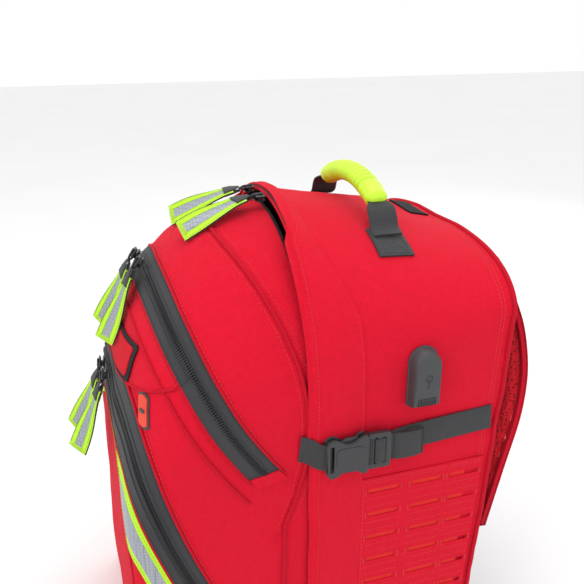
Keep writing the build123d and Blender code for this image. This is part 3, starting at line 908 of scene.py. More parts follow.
def make_lid_shell():
    """Fabric of the lid and of its two pocket faces, parted at the zips and the folds."""
    def walls(points):
        upper = -in_upper_pocket(points, -ZIP_MARGIN, -0.1)
        lower = -in_lower_pocket(points, -ZIP_MARGIN, -0.3)
        beside = clear_of_zip(points, UPPER_ZIP, UPPER_ZIP_LOW)
        edge = LID_RING_END + 6.5 - points[..., 1]
        return np.minimum(np.minimum(upper, lower), np.minimum(beside, edge))

    lid_piece("lid_fabric", walls, "front_lid", RED, ["lid_shell"], lining=LINING)
    lid_piece("upper_pocket_fabric", lambda p: in_upper_pocket(p, ZIP_MARGIN, 0.1), "upper_pocket", RED,
              ["upper_pocket_face"], out=0.5, lining=LINING)
    lid_piece("lower_pocket_fabric", lambda p: in_lower_pocket(p, ZIP_MARGIN, 0.3), "lower_pocket", RED,
              ["lower_pocket_face"], out=0.5, lining=LINING)


def line_q(v, seam, offset):
    """Place q on the lid at a distance in front of a zip line, kept off the lid's edges."""
    return np.clip(seam_q(v, seam, offset), 0.001, 0.999)


def zip_band(seam, v, low_offset, high_offset, out, columns=7):
    """Strip beside a zip line, between two distances in front of it."""
    rows = [on_form("lid", v, line_q(v, seam, offset), out)[0]
            for offset in np.linspace(low_offset, high_offset, columns)]
    return thick(grid(np.stack(rows, 1)), -0.35, 0.35)


def zip_teeth(seam, v, offset, out):
    """Row of coil turns on one side of a zip line."""
    q = line_q(v, seam, offset)
    centres, n, _ = on_form("lid", v, q, out)
    across = on_form("lid", v, line_q(v, seam, offset + 1.5), out)[0] - centres
    return capsules(centres, across, n, 3.2, 1.5, 2.0)


def split_at(v, seam, height):
    """Values of v above and below a height on a zip line."""
    z = on_form("lid", v, line_q(v, seam, 0.0))[2][:, 2]
    return z > height


def make_zip(stem, seam, low, cut_height, pocket):
    """Two-way coil zip: woven tapes, coil and stitched fabric edges on both sides of its line."""
    v = seam_v(seam, low, 2.0)
    high = split_at(v, seam, cut_height)
    rear = zip_band(seam, v, -TAPE_WIDTH, -0.4, 0.9)
    make_piece(f"{stem}_zip_tape_back", rear, TAPE, "front_lid", [f"{stem}_zip_tape_rear"])
    front = zip_band(seam, v[high], 0.4, TAPE_WIDTH, 1.6)
    make_piece(f"{stem}_zip_tape_fore", front, TAPE, pocket, [f"{stem}_zip_tape_front"])
    for offset, rows, body in ((-5.0, v, "front_lid"), (5.0, v[high], pocket)):
        line = bead("lid", rows, line_q(rows, seam, offset), 1.5 if offset < 0 else 2.4, 0.55)
        make_piece(f"{stem}_zip_guard_{'back' if offset < 0 else 'fore'}", line, TAPE, body)
    dense = seam_v(seam, low, 2.25)
    high_dense = split_at(dense, seam, cut_height)
    make_piece(f"{stem}_zip_coil_back", zip_teeth(seam, dense, -1.3, 1.7), COIL, "front_lid")
    front_coil = zip_teeth(seam, dense[high_dense], 1.3, 2.1)
    make_piece(f"{stem}_zip_coil_fore", front_coil, COIL, pocket)
    for offset in (-TAPE_WIDTH - 0.6, TAPE_WIDTH + 0.6):
        side = "back" if offset < 0 else "fore"
        rows = v if offset < 0 else v[high]
        edge = bead("lid", rows, line_q(rows, seam, offset), 1.2, 1.25)
        body = "front_lid" if offset < 0 else pocket
        make_piece(f"{stem}_zip_edge_{side}", edge, RED_BINDING, body)
        sewn = offset + math.copysign(2.6, offset)
        inner = offset - math.copysign(2.2, offset)
        stitches = stitch_row("lid", rows, line_q(rows, seam, sewn), 0.9, 2.6, 3.8, 0.55)
        make_piece(f"{stem}_zip_topstitch_{side}", stitches, RED_THREAD, body)
        tape_top = 1.4 if offset < 0 else 2.4
        seam_rows = stitch_row("lid", rows, line_q(rows, seam, inner), tape_top, 2.4, 3.2, 0.5)
        make_piece(f"{stem}_zip_tape_stitch_{side}", seam_rows, BLACK_THREAD, body)
    if not high.all():
        z_along = on_form("lid", v, line_q(v, seam, 0.0))[2][:, 2]
        wing = v[z_along < cut_height + 3]
        for side, sign in SIDES:
            rows = wing[np.sign(wing) == sign]
            low_front = joined([
                zip_band(seam, rows, 0.4, TAPE_WIDTH, 1.1),
                zip_teeth(seam, dense[~high_dense & (np.sign(dense) == sign)], 1.3, 1.7),
            ])
            make_piece(f"{stem}_zip_end_{side}", low_front, TAPE, "front_lid")
            edge = bead("lid", rows, line_q(rows, seam, TAPE_WIDTH + 0.6), 1.2, 1.25)
            make_piece(f"{stem}_zip_end_edge_{side}", edge, RED_BINDING, "front_lid")
            stop_v = rows[-1] if sign > 0 else rows[0]
            ends = [on_form("lid", stop_v + sign * dv, line_q(np.array([stop_v + sign * dv]), seam, w), 2.0)[0]
                    for dv in (-0.006, 0.001, 0.008) for w in np.linspace(-12, 12, 7)]
            tab = grid(np.array(ends).reshape(3, 7, 3))
            make_piece(f"{stem}_zip_stop_{side}", thick(tab, -1.2, 0.8), RED, "front_lid")


def make_lid_piping():
    """Piping over the lid where its gusset begins and down both sides, with stitches on either side of it."""
    v = seam_v(PIPING_LINE, 225.0, 3.0)
    z_low = np.linspace(222, 17, 60)
    q = seam_q(v, PIPING_LINE)
    points, n, _ = on_form("lid", v, q, 0.9)
    last_v = v[-1]
    low_v = last_v + (SIDE_END - last_v) * (225 - z_low) / (225 - 17)
    y_low = -74 - (225 - z_low) * 0.035
    low_q = solve(lambda trial: (y_low - lid(low_v, trial)[..., 1]), 0 * low_v, 0 * low_v + 0.9)
    right_low, n_low, _ = on_form("lid", low_v, low_q, 0.9)
    path = np.concatenate([(right_low * [-1, 1, 1])[::-1], points, right_low])
    ups = np.concatenate([(n_low * [-1, 1, 1])[::-1], n, n_low])
    cord = swept(path, ups, round_profile(2.1))
    make_piece("lid_seam_piping", cord, RED_BINDING, "front_lid", ["lid_piping"])
    rows = [stitch_row("lid", v, np.clip(seam_q(v, PIPING_LINE, beside), 0.002, 1), 0.25, 2.8, 4.0, 0.55)
            for beside in (-6.0, 5.5)]
    make_piece("lid_seam_stitches", joined(rows), RED_THREAD, "front_lid")


def make_pocket_piping():
    """Piping round the upper pocket's inner panel, along its fold and round the lower pocket's face."""
    v = seam_v(UPPER_ZIP, 262.0, 3.0)
    q = line_q(v, UPPER_ZIP, 27.0)
    high = on_form("lid", v, q)[2][:, 2] > UPPER_CUT[1] - 12
    for keep, body, tag in ((high, "upper_pocket", "top"), (~high & (v > 0), "front_lid", "right"),
                            (~high & (v < 0), "front_lid", "left")):
        line = bead("lid", v[keep], q[keep], 1.2, 1.3)
        make_piece(f"upper_pocket_panel_seam_{tag}", line, RED_BINDING, body)

    fold_v = np.linspace(-0.39, 0.39, 200)

    def below_fold(q):
        return 0.6 - fold_distance(lid(fold_v, q), UPPER_HINGE, UPPER_CUT)

    fold_q = solve(below_fold, 0 * fold_v, 0 * fold_v + 1)
    keep = seam_distance(lid(fold_v, fold_q), UPPER_ZIP) > TAPE_WIDTH + 1.5
    fold = bead("lid", fold_v[keep], fold_q[keep], 0.9, 1.3)
    make_piece("upper_pocket_fold_piping", fold, RED_BINDING, "upper_pocket")
    front_v = np.linspace(-0.8, 0.8, 260)
    edge_q = np.full_like(front_v, 1.0)
    keep = in_lower_pocket(on_form("lid", front_v, edge_q)[2]) > 2
    rim = bead("lid", front_v[keep], edge_q[keep], 0.6, 1.9)
    make_piece("lower_pocket_rim_piping", rim, RED_BINDING, "lower_pocket")


def make_partition():
    """Panel between the lid's pockets and the main compartment, and the shelf between the pockets."""
    v = np.concatenate([-SIDE_V[:0:-3], SIDE_V[::3]])
    rings = []
    for size in (1.0, 0.97, 0.6, 0.3, 0.02):
        q = 1 - math.sqrt(1 - (96.5 + SEAM_Y) / LID_DEPTH)
        points = on_form("lid", v, np.full_like(v, q), -6.5)[0].copy()
        points[:, 1] = -96.5 - (2.0 * (1 - size))
        points[:, 0] *= size
        points[:, 2] = 200 + (points[:, 2] - 200) * size
        rings.append(points)
    panel = thick(grid(np.stack(rings, 1)), -1.0, 1.0)
    make_piece("lid_partition_panel", panel, LINING, "front_lid", ["pocket_partition"])
    shelf = []
    for y in np.linspace(-98, -198, 9):
        s = (SEAM_Y - y) / LID_DEPTH
        half = 125 + 28 * math.sqrt(1 - s ** 3)
        top = 290 + 192 * math.sqrt(1 - s ** 2.4)
        rise = 337 - (top - half)
        x = math.sqrt(max(half ** 2 - max(rise, 0) ** 2, 30.0)) - 6
        shelf.append([(x * t, y, 337 - 1.5 * math.cos(t * 1.5)) for t in np.linspace(-1, 1, 15)])
    make_piece("pocket_shelf", thick(grid(np.array(shelf)), -0.8, 0.8), LINING, "front_lid")
    pocket = []
    for z in np.linspace(40, 250, 10):
        row = [(x, -94.0 + 14 * math.sin(math.pi * (x + 120) / 240) ** 0.5 * (z / 250), z)
               for x in np.linspace(-120, 120, 25)]
        pocket.append(row)
    sheet = thick(grid(np.array(pocket)), -0.5, 0.5)
    make_piece("lid_inner_mesh_pocket", sheet, MESH, "front_lid")


def make_band():
    """Reflective tape with bright borders below the lower zip."""
    seam = LOWER_ZIP
    v = seam_v(seam, 112.0, 3.0)
    middle = on_form("lid", v, line_q(v, seam, 25.0))[2]
    for side, sign in SIDES:
        keep = (middle[:, 2] < 300) & (np.sign(v) == sign) & (in_lower_pocket(middle) > 3)
        rows = v[keep]
        silver = zip_band(seam, rows, 18.5, 29.0, 2.3, 5)
        replaced = ["reflective_band"] if sign > 0 else []
        make_piece(f"reflective_band_{side}", silver, SILVER, "lower_pocket", replaced)
        neon = joined([zip_band(seam, rows, 14.6, 18.6, 2.0, 3), zip_band(seam, rows, 29.0, 33.0, 2.0, 3)])
        make_piece(f"reflective_band_border_{side}", neon, NEON, "lower_pocket")
        stitches = joined([stitch_row("lid", rows, line_q(rows, seam, offset), 2.75, 2.4, 3.4, 0.5)
                           for offset in (16.4, 31.2)])
        make_piece(f"reflective_band_stitches_{side}", stitches, NEON, "lower_pocket")


def lid_front_q(v, height):
    """Place q on the lid's upper front at a height."""
    return solve(lambda q: height - lid(v, q)[..., 2], 0 * v + 0.2, 0 * v + 1.0)


def front_sheet(x_low, x_high, z_low, z_high, out, columns=25, rows=12, corner=0.0, slant=0.0):
    """Sheet that follows the lid's upper front between two heights and two sides."""
    made = []
    for t in np.linspace(0, 1, rows):
        height = z_low + (z_high - z_low) * t
        inset = 0.0
        if corner:
            edge = min(t, 1 - t) * (z_high - z_low)
            inset = corner - math.sqrt(max(corner ** 2 - max(corner - edge, 0) ** 2, 0))
        targets = np.linspace(x_low + inset, x_high - inset, columns) + slant * (0.5 - t)
        v = solve(lambda trial: np.abs(lid(trial, lid_front_q(trial, height))[..., 0]) - np.abs(targets),
                  0 * targets + 1e-4, 0 * targets + 0.39)
        v = v * np.sign(targets + 1e-9)
        made.append(on_form("lid", v, lid_front_q(v, height), out)[0])
    return grid(np.stack(made))


def make_name_panel():
    """Red loop field in a dark border, left blank."""
    border = front_sheet(-78, 78, 350.5, 383, 2.2, 41, 14, 3.0)
    make_piece("name_panel_border", thick(border, -0.8, 0.4), LOOP, "upper_pocket",
               ["name_panel"])
    field = front_sheet(-73, 73, 354.5, 379.5, 3.2, 41, 12, 2.0)
    make_piece("name_panel_field", thick(field, -0.6, 0.5), RED_LOOP, "upper_pocket")


def make_badge():
    """Blank rounded badge of orange rubber on a dark base, with a raised dark bar."""
    base = front_sheet(104.5, 118.5, 327, 354, 1.0, 13, 17, 4.0, 12.0)
    make_piece("badge_base", thick(base, -0.9, 0.3), RUBBER_BLACK, "front_lid", ["badge"])
    face = front_sheet(106.0, 117.0, 328.8, 352.2, 1.9, 13, 17, 3.2, 10.4)
    make_piece("badge_face", thick(face, -0.7, 0.3), BADGE, "front_lid")
    bar = front_sheet(108.4, 114.6, 339.0, 342.0, 2.7, 9, 7, 1.4, 1.3)
    make_piece("badge_bar", thick(bar, -0.6, 0.3), RUBBER_BLACK, "front_lid")


# ================================================================ carry handle
def on_rear_top(x, y, out):
    """Point and normal on the crown of the rear compartment at a place seen from above."""
    x, y = np.broadcast_arrays(np.asarray(x, float), np.asarray(y, float))
    shape = x.shape
    x, y = x.ravel(), y.ravel()

    def side_at(v):
        return np.abs(rear(v, rear_share(v, y))[..., 0]) - np.abs(x)

    v = solve(side_at, 0 * x + 1e-4, 0 * x + SHOULDER_END - 0.01) * np.sign(x + 1e-9)
    points, n, _ = on_form("rear", v, rear_share(v, y), out)
    return points.reshape(*shape, 3), n.reshape(*shape, 3)


def make_handle():
    """Ribbed rubber grip on a webbing loop sewn down by a patch at each end."""
    half, end_z, top_z = 63.0, 490.0, 506.0
    radius = (half ** 2 + (top_z - end_z) ** 2) / (2 * (top_z - end_z))
    span = math.asin(half / radius)
    turn = np.linspace(-span, span, 241)
    path = np.stack([radius * np.sin(turn), 0 * turn + HANDLE_Y, top_z - radius + radius * np.cos(turn)], -1)
    x = path[:, 0]
    ribbed = np.clip((44 - np.abs(x)) / 3, 0, 1)
    groove = np.cos((x / 6.6) * math.pi) ** 6
    size = 1.0 - 0.19 * groove * ribbed - 0.05 * (1 - ribbed)
    collar = np.exp(-((np.abs(x) - 47) / 2.2) ** 2)
    size += 0.07 * collar
    size *= 1 - 0.45 * np.clip((np.abs(x) - 58) / 5, 0, 1) ** 2
    profile = [(11.6 * math.cos(t), 9.6 * math.sin(t) - 1.2 * max(0, -math.sin(t)) ** 2)
               for t in np.linspace(0, 2 * math.pi, 28, endpoint=False)]
    grip = swept(path, (0, 0, 1), profile, size)
    make_piece("handle_grip_ribbed", grip, NEON_RUBBER, "carry_handle", ["handle_grip"])
    for side, sign in SIDES:
        make_handle_leg(side, sign)
        make_handle_patch(side, sign)


def make_handle_leg(side, sign):
    """Webbing from one end of the grip down to its patch."""
    line = np.array([(60.0, 490.5), (66.0, 488.5), (71.0, 484.5), (74.5, 479.5), (76.5, 474.0),
                     (79.0, 470.0), (83.0, 467.6), (88.0, 465.6)])
    x, z = smoothed(at_places(line, np.linspace(0, len(line) - 1, 29)), 3).T
    points = np.stack([sign * x, 0 * x + HANDLE_Y, z], -1)
    ups = np.cross(np.gradient(points, axis=0), [0, 1, 0])
    ups *= np.where(ups[:, 2:] + ups[:, :1] * sign < 0, -1, 1)
    width = 19 + 9 * np.clip((x - 62) / 7, 0, 1)
    leg = swept(points, ups, flat_profile(1.0, 0.085), width)
    piece = make_piece(f"handle_webbing_{side}", leg, STRAP, "")
    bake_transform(piece)
    if sign > 0:
        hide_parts("handle_webbing")


def make_handle_patch(side, sign):
    """Webbing patch that anchors one end of the handle, sewn with a crossed box."""
    x, y = np.meshgrid(np.linspace(75, 107, 17), np.linspace(HANDLE_Y - 17, HANDLE_Y + 17, 17), indexing="ij")
    patch = grid(on_rear_top(sign * x, y, 1.5)[0])
    make_piece(f"handle_patch_{side}", thick(patch, -1.1, 0.7), STRAP, "rear_shell",
               [f"handle_anchor_{side}"])
    corners = ((78, -14), (104, -14), (104, 14), (78, 14))
    lines = [(corners[k], corners[(k + 1) % 4]) for k in range(4)]
    lines += [(corners[0], corners[2]), (corners[3], corners[1])]
    share = np.linspace(0.02, 0.98, 13)
    sewn = []
    for a, b in lines:
        x = sign * (a[0] + (b[0] - a[0]) * share)
        y = HANDLE_Y + a[1] + (b[1] - a[1]) * share
        points, n = on_rear_top(x, y, 2.5)
        sewn.append(capsules(points, np.gradient(points, axis=0), n, 1.9, 0.7, 0.7))
    make_piece(f"handle_patch_stitches_{side}", joined(sewn), GREY_THREAD, "rear_shell")


def make_port_patch():
    """Flat flap over the cable port behind the handle."""
    xs, ys = np.meshgrid(np.linspace(-38, 12, 21), np.linspace(105, 126, 11), indexing="ij")
    patch = grid(on_rear_top(xs, ys, 1.2)[0])
    make_piece("cable_port_flap", thick(patch, -0.9, 0.7), BLACK_FABRIC, "rear_shell",
               ["top_port_patch"])
    sewn = []
    for y in (107.0, 124.0):
        points, n = on_rear_top(np.linspace(-36, 10, 14), y, 2.0)
        sewn.append(capsules(points, np.gradient(points, axis=0), n, 2.3, 0.6, 0.6))
    make_piece("cable_port_stitches", joined(sewn), GREY_THREAD, "rear_shell")


# ================================================================ zip pulls
def plane_axes(x_dir, z_dir):
    """Three axes as rows, from a sideways and an upward direction."""
    x_dir, z_dir = np.array(x_dir, float), np.array(z_dir, float)
    return np.stack([x_dir, np.cross(z_dir, x_dir), z_dir])


def placed(patch, origin, axes):
    """Patch carried from its own axes to a place."""
    verts, faces = patch
    verts = verts.copy()
    verts[:, :3] = np.asarray(origin) + verts[:, :3] @ axes
    return verts, faces


def turned(axes, pitch, yaw):
    """Axes turned by a pitch about their own X and then a yaw about their own Z, in degrees."""
    a, b = math.radians(pitch), math.radians(yaw)
    about_x = np.array([[1, 0, 0], [0, math.cos(a), math.sin(a)], [0, -math.sin(a), math.cos(a)]])
    about_z = np.array([[math.cos(b), math.sin(b), 0], [-math.sin(b), math.cos(b), 0], [0, 0, 1]])
    return about_z @ about_x @ axes


def rounded_box(x, y, z, r=1.2):
    """Box between limits with rounded upright edges and a chamfered top and bottom."""
    ring = np.array(rounded_outline(*x, *y, r, 3))
    middle = ring.mean(0)
    edge = min(r * 0.5, (z[1] - z[0]) * 0.3)
    size = 1 - 2 * edge / (min(x[1] - x[0], y[1] - y[0]) + 1e-9)
    rings = [np.concatenate([middle + (ring - middle) * s, np.full((len(ring), 1), h)], 1)
             for s, h in ((size, z[0]), (1, z[0] + edge), (1, z[1] - edge), (size, z[1]))]
    return lofted(np.stack(rings))


def slider_body():
    """Two-plate zip slider with a neck, raised bail and loop."""
    plates = [rounded_box((-5.5, 5.5), (-5, 5), heights, 2.4) for heights in ((0.2, 1.9), (4.1, 5.9))]
    neck = rounded_box((2.4, 4.6), (-1.6, 1.6), (1.5, 4.5), 0.7)
    turn = np.linspace(0, math.pi, 13)
    loop = np.stack([0 * turn, -2.6 - 5.6 * np.sin(turn), 5.2 - 1.8 * np.cos(turn) - 0.6], -1)
    loop[0], loop[-1] = (0, 1.0, 2.8), (0, 3.0, 6.8)
    bail = swept(loop, (1, 0, 0), round_profile(1.15, 8))
    return joined(plates + [neck, bail])


TAB_ROLL = 0.62
TAB_DROOP = {"main": 15.0, "upper": 2.0, "lower": 2.0}
TAB_LENGTH = 67.0
TAB_END = -4.6 - TAB_LENGTH


def tab_parts():
    """Pull of folded tape: bright borders, silver stripe, dark piping, stitches and webbing root."""
    y = np.linspace(-8.0, TAB_END, 26)

    def sway(at):
        return 0.6 * np.sin((at + 8) / 21)

    def strip(x0, x1, half_height):
        path = np.stack([np.full_like(y, (x0 + x1) / 2), y, 1.3 + sway(y)], -1)
        return swept(path, (0, 0, 1), flat_profile(x1 - x0, 2 * half_height))

    tip = sway(TAB_END)
    neon = [strip(-11.4, -4.6, 1.1), strip(4.6, 11.4, 1.1)]
    neon.append(rounded_box((-11.4, 11.4), (TAB_END - 0.3, TAB_END + 4.5), (-0.2 + tip, 2.7 + tip), 1.5))
    piping = [strip(-12.2, -11.0, 0.75), strip(11.0, 12.2, 0.75)]
    at = np.linspace(-12, TAB_END + 2, 22)
    along, up = np.tile([0.0, 1, 0], (len(at), 1)), np.tile([0.0, 0, 1], (len(at), 1))
    stitches = []
    for x in (-5.4, 5.4, -9.8, 9.8):
        for height in (2.65, -0.05):
            centres = np.stack([np.full(len(at), x), at, height + sway(at)], -1)
            stitches.append(capsules(centres, along, up, 2.2, 0.5, 0.5))
    fold = [(0, -17.0, 0.0), (0, -10.0, -0.4)]
    fold += [(0, -3.0 + 2.3 * math.cos(t), 1.3 + 1.9 * math.sin(t))
             for t in np.linspace(-0.5 * math.pi, 0.5 * math.pi, 9)]
    fold = np.array(fold + [(0, -10.0, 3.1), (0, -17.0, 2.9)])
    widths = np.concatenate([[20.0, 17.0], np.full(9, 8.5), [17.0, 20.0]])
    root = swept(fold, np.cross(np.gradient(fold, axis=0), [1, 0, 0]), flat_profile(1.0, 0.09), widths)
    parts = {"borders": (joined(neon), NEON), "stripe": (strip(-5.4, 5.4, 1.25), SILVER),
             "piping": (joined(piping), BLACK_THREAD), "stitches": (joined(stitches), NEON),
             "root": (root, STRAP)}
    return {name: (hung(patch), material) for name, (patch, material) in parts.items()}


def hung(patch):
    """Lets a pull roll about its length and droop towards its end."""
    verts, faces = patch
    verts = verts.copy()
    share = np.clip((-verts[:, 1] - 9) / 55, 0, 1)
    roll = TAB_ROLL * share * share * (3 - 2 * share)
    x, z = verts[:, 0].copy(), verts[:, 2] - 1.3
    verts[:, 0] = x * np.cos(roll) + z * np.sin(roll)
    verts[:, 2] = 1.3 - x * np.sin(roll) + z * np.cos(roll)
    return verts, faces


def drooped(patch, depth):
    """Lets the end of a pull hang down by a depth."""
    verts, faces = patch
    verts = verts.copy()
    share = np.clip((-verts[:, 1] - 6) / 70, 0, 1.1)
    verts[:, 2] -= depth * share ** 1.6
    return verts, faces


def make_pulls():
    """Two sliders with their pulls at the crown of each zip."""
    parts = tab_parts()
    body = slider_body()
    arc_z, arc_radius = 332.0, 157.6
    upper_slope, lower_slope = math.radians(52), 1.4
    for side, sign in SIDES:
        angle = math.radians(6.5 * sign)
        over, aside = math.cos(angle), math.sin(angle)
        crown = (arc_radius * aside, -55.0, arc_z + arc_radius * over)
        upper_up = (0, -math.sin(upper_slope), math.cos(upper_slope))
        lower_up = (0, -math.sin(lower_slope), math.cos(lower_slope))
        places = {
            "main": (crown, (over, 0, -aside), (aside, 0, over), 9, 8 * sign),
            "upper": ((13.5 * sign, -166.4, 437.2), (1, 0, 0), upper_up, 62, 7 * sign),
            "lower": ((13.5 * sign, -206.6, 331.0), (1, 0, 0), lower_up, 64, 7 * sign),
        }
        for stem, (origin, x_dir, z_dir, pitch, yaw) in places.items():
            axes = plane_axes(x_dir, z_dir)
            slider, pull = f"{stem}_slider_{side}", f"{stem}_pull_{side}"
            make_piece(f"{slider}_body", placed(body, origin, axes), METAL, slider,
                       [f"{stem}_{side}_slider"])
            pivot = np.array(origin) + np.array([0, -8.4, 3.0]) @ axes
            tab_axes = turned(np.eye(3), pitch, yaw)
            for name, (part, material) in parts.items():
                shape = placed(drooped(part, TAB_DROOP[stem]), pivot, tab_axes)
                replaced = [f"{stem}_{side}_tab"] if name == "stripe" else []
                make_piece(f"{pull}_{name}", shape, material, pull, replaced)


# ================================================================ compression straps
def outline_solid(outline, thickness, r=0.8, holes=()):
    """Moulded plate: an outline with holes, extruded and bevelled, standing in the (Y, Z) plane."""
    curve = bpy.data.curves.new("outline", "CURVE")
    curve.dimensions = "2D"
    curve.fill_mode = "BOTH"
    for points in (outline, *holes):
        spline = curve.splines.new("POLY")
        spline.points.add(len(points) - 1)
        for point, (a, b) in zip(spline.points, points):
            point.co = (a, b, 0, 1)
        spline.use_cyclic_u = True
    curve.extrude = thickness / 2 - r
    curve.bevel_depth = r
    curve.offset = -r
    curve.bevel_resolution = 2
    holder = bpy.data.objects.new("outline", curve)
    bpy.context.scene.collection.objects.link(holder)
    mesh = bpy.data.meshes.new_from_object(holder)
    verts = np.zeros(len(mesh.vertices) * 3)
    mesh.vertices.foreach_get("co", verts)
    faces = [tuple(polygon.vertices) for polygon in mesh.polygons]
    bpy.data.objects.remove(holder)
    verts = verts.reshape(-1, 3)
    placed_verts = np.stack([verts[:, 2], verts[:, 0], verts[:, 1], 0 * verts[:, 0], 0 * verts[:, 0]], -1)
    return placed_verts, faces


def moved(patch, x=0.0, y=0.0, z=0.0):
    verts, faces = patch
    verts = verts.copy()
    verts[:, :3] += (x, y, z)
    return verts, faces


def make_side_straps():
    """Compression strap on each side: webbing, a side-release buckle and the rolled tail."""
    z, half = STRAP_Z, 18.0
    upper_edge = [(y, half - 6.2 * math.sin(math.pi * (y + 37) / 32) ** 2) for y in np.linspace(-36, -6, 15)]
    waist = [(-41, -13), (-41, 13), (-39.5, 16.2)] + upper_edge + [(-4.3, half - 2)]
    waist += [(y, -edge) for y, edge in waist[::-1] if edge != 13]
    slot = rounded_outline(-38.5, -35.2, -12.7, 12.7, 1.4)
    cover = outline_solid(waist, 2.4, 0.8, [slot])
    housing = joined([moved(cover, 168.6, 0, z), moved(cover, 162.3, 0, z),
                      moved(outline_solid(rounded_outline(-33, -8, -9.5, 9.5, 4.0), 1.0, 0.3), 169.9, 0, z),
                      moved(rounded_box((162.5, 168.5), (-34.5, -32.5), (-13, 13), 0.6), 0, 0, z)])
    make_pair("buckle_housing", housing, PLASTIC, "front_lid", ["side_buckle_female_{side}"])
    frame_slots = [rounded_outline(2.5, 5.8, -12.8, 12.8, 1.4), rounded_outline(10.2, 13.6, -12.8, 12.8, 1.4)]
    frame_outline = rounded_outline(-3.4, 18.5, -half + 0.5, half - 0.5, 3.0)
    ladder = moved(outline_solid(frame_outline, 5.6, 1.2, frame_slots), 165.4, 0, z)
    prongs = []
    for sign in (-1, 1):
        arm = [(-3.0, sign * 13.5), (-3.0, sign * 8.5), (-20, sign * 10.5), (-29.5, sign * 11.5),
               (-29.5, sign * 13.5), (-24, sign * 17.2), (-13, sign * 17.4), (-11.5, sign * 13.8)]
        prongs.append(moved(outline_solid(arm if sign > 0 else arm[::-1], 2.8, 0.6), 165.4, 0, z))
    prongs.append(moved(outline_solid(rounded_outline(-29, -3, -2, 2, 1.0), 2.8, 0.6), 165.4, 0, z))
    ridges = [rounded_box((167.6, 169.0), (y, y + 1.0), (z - 13, z + 13), 0.4) for y in (-1.6, 0.2)]
    make_pair("buckle_tongue", joined([ladder, *prongs, *ridges]), PLASTIC, "buckle_{side}",
              ["side_buckle_male_{side}"])

    def ribbon(stations, thickness=1.5, width=WEBBING):
        places = np.linspace(0, len(stations) - 1, 6 * len(stations))
        path = smoothed(at_places(stations, places), 4)
        side = np.cross(np.gradient(path, axis=0), [0, 0, 1])
        return swept(path, side, flat_profile(width, thickness))

    front = ribbon([(153.8, -61, z + 6.5), (155.4, -57, z + 6.0), (158.2, -52, z + 4),
                    (161.6, -47.5, z + 1.5), (164.4, -41.5, z), (165.6, -36, z)])
    make_pair("strap_front_webbing", front, STRAP, "front_lid", ["side_strap_front_{side}"])
    back = ribbon([(165.2, 12, z), (162.5, 17, z), (159.4, 24, z + 0.4), (157.6, 40, z + 1.4),
                   (157.3, 80, z + 4), (157.2, 124, z + 7.0)])
    make_pair("strap_rear_webbing", back, STRAP, "rear_shell", ["side_strap_rear_{side}"])
    turn = np.linspace(0, 2.3 * 2 * math.pi, 130)
    grow = turn / (2 * math.pi)
    roll = np.stack([162.6 - (0.9 + 1.55 * grow) * np.cos(turn) * 0.9,
                     36.5 + (12.0 + 1.5 * grow) * np.sin(turn), z - 1.0 + 0 * turn], -1)
    around = np.cross(np.gradient(roll, axis=0), [0, 0, 1])
    loop = ribbon([(164.0, 1.5, z), (168.4, 4.5, z), (168.6, 9.5, z),
                   (166.0, 15.0, z), (163.0, 22.0, z)], 1.4, 24.0)
    folds = joined([swept(roll, around, flat_profile(26.0, 1.3)), loop])
    make_pair("strap_tail_folds", folds, STRAP, "buckle_{side}", ["side_strap_tail_{side}"])


# ================================================================ charging port
def make_charge_port():
    """Soft hood over a downward socket: domed, with a stepped rim and rows of dark pips on its face, painted
    shade standing for drilled holes.
    """
    y0, z0, width = 50.0, 331.5, 27.0
    outline = [(-width / 2, 0.0), (width / 2, 0.0), (width / 2, 40.0)]
    outline += [(width / 2 * math.cos(t), 40 + 13.5 * math.sin(t))
                for t in np.linspace(0.12, math.pi - 0.12, 15)]
    outline.append((-width / 2, 40.0))
    dense = []
    for k, (a, b) in enumerate(outline):
        c, d = outline[(k + 1) % len(outline)]
        count = max(int(math.hypot(c - a, d - b) / 1.6), 1)
        dense += [(a + (c - a) * t / count, b + (d - b) * t / count) for t in range(count)]
    ring = np.array(dense)
    middle = np.array([0.0, 25.0])
    rows = []
    for size, x in ((1.04, 156.2), (1.05, 157.6), (1.0, 158.2), (0.985, 162.0), (0.95, 166.0), (0.90, 168.4),
                    (0.83, 169.6), (0.6, 170.0), (0.3, 170.1), (0.03, 170.1)):
        flat = middle + (ring - middle) * size
        flat[:, 1] = np.maximum(flat[:, 1], 0.0)
        lower = np.clip((18 - flat[:, 1]) / 6, 0, 1) if x > 168 else 0 * flat[:, 1]
        rows.append(np.stack([x - 1.3 * lower * (size < 0.9), y0 + flat[:, 0], z0 + flat[:, 1]], -1))
    make_piece("charge_port_hood", lofted(np.stack(rows)), RUBBER_BLACK, "rear_shell",
               ["usb_housing"])
    # dark pips on the face: painted shade for drilled holes
    pips = []
    for row in range(3):
        for column in range(7):
            centre = [168.75, y0 + (column - 3) * 2.6, z0 + 3.2 + row * 2.7]
            pips.append(capsules([centre], [[1.0, 0, 0]], [[0, 0, 1.0]], 1.3, 1.7, 1.7))
    make_piece("charge_port_painted_hole_shade", joined(pips), BLACK_THREAD, "rear_shell")
    turn = np.linspace(0, 2 * math.pi, 25)
    mark = swept(np.stack([0 * turn + 170.2, y0 + 3.0 * np.cos(turn), z0 + 29 + 3.0 * np.sin(turn)], -1),
                 (1, 0, 0), round_profile(0.4, 6))
    stem = rounded_box((169.9, 170.6), (y0 - 0.5, y0 + 0.5), (z0 + 20, z0 + 29), 0.2)
    make_piece("charge_port_mark", joined([mark, stem]), PLASTIC, "rear_shell")
    walls = (((160.3, 160.9), (-7, 7)), ((166.3, 166.9), (-7, 7)),
             ((160.3, 166.9), (-7.2, -6.6)), ((160.3, 166.9), (6.6, 7.2)))
    box = [rounded_box(x, (y0 + low, y0 + high), (z0 + 4.0, z0 + 16), 0.2) for x, (low, high) in walls]
    make_piece("charge_port_socket", joined(box), STEEL, "rear_shell", ["usb_socket"])


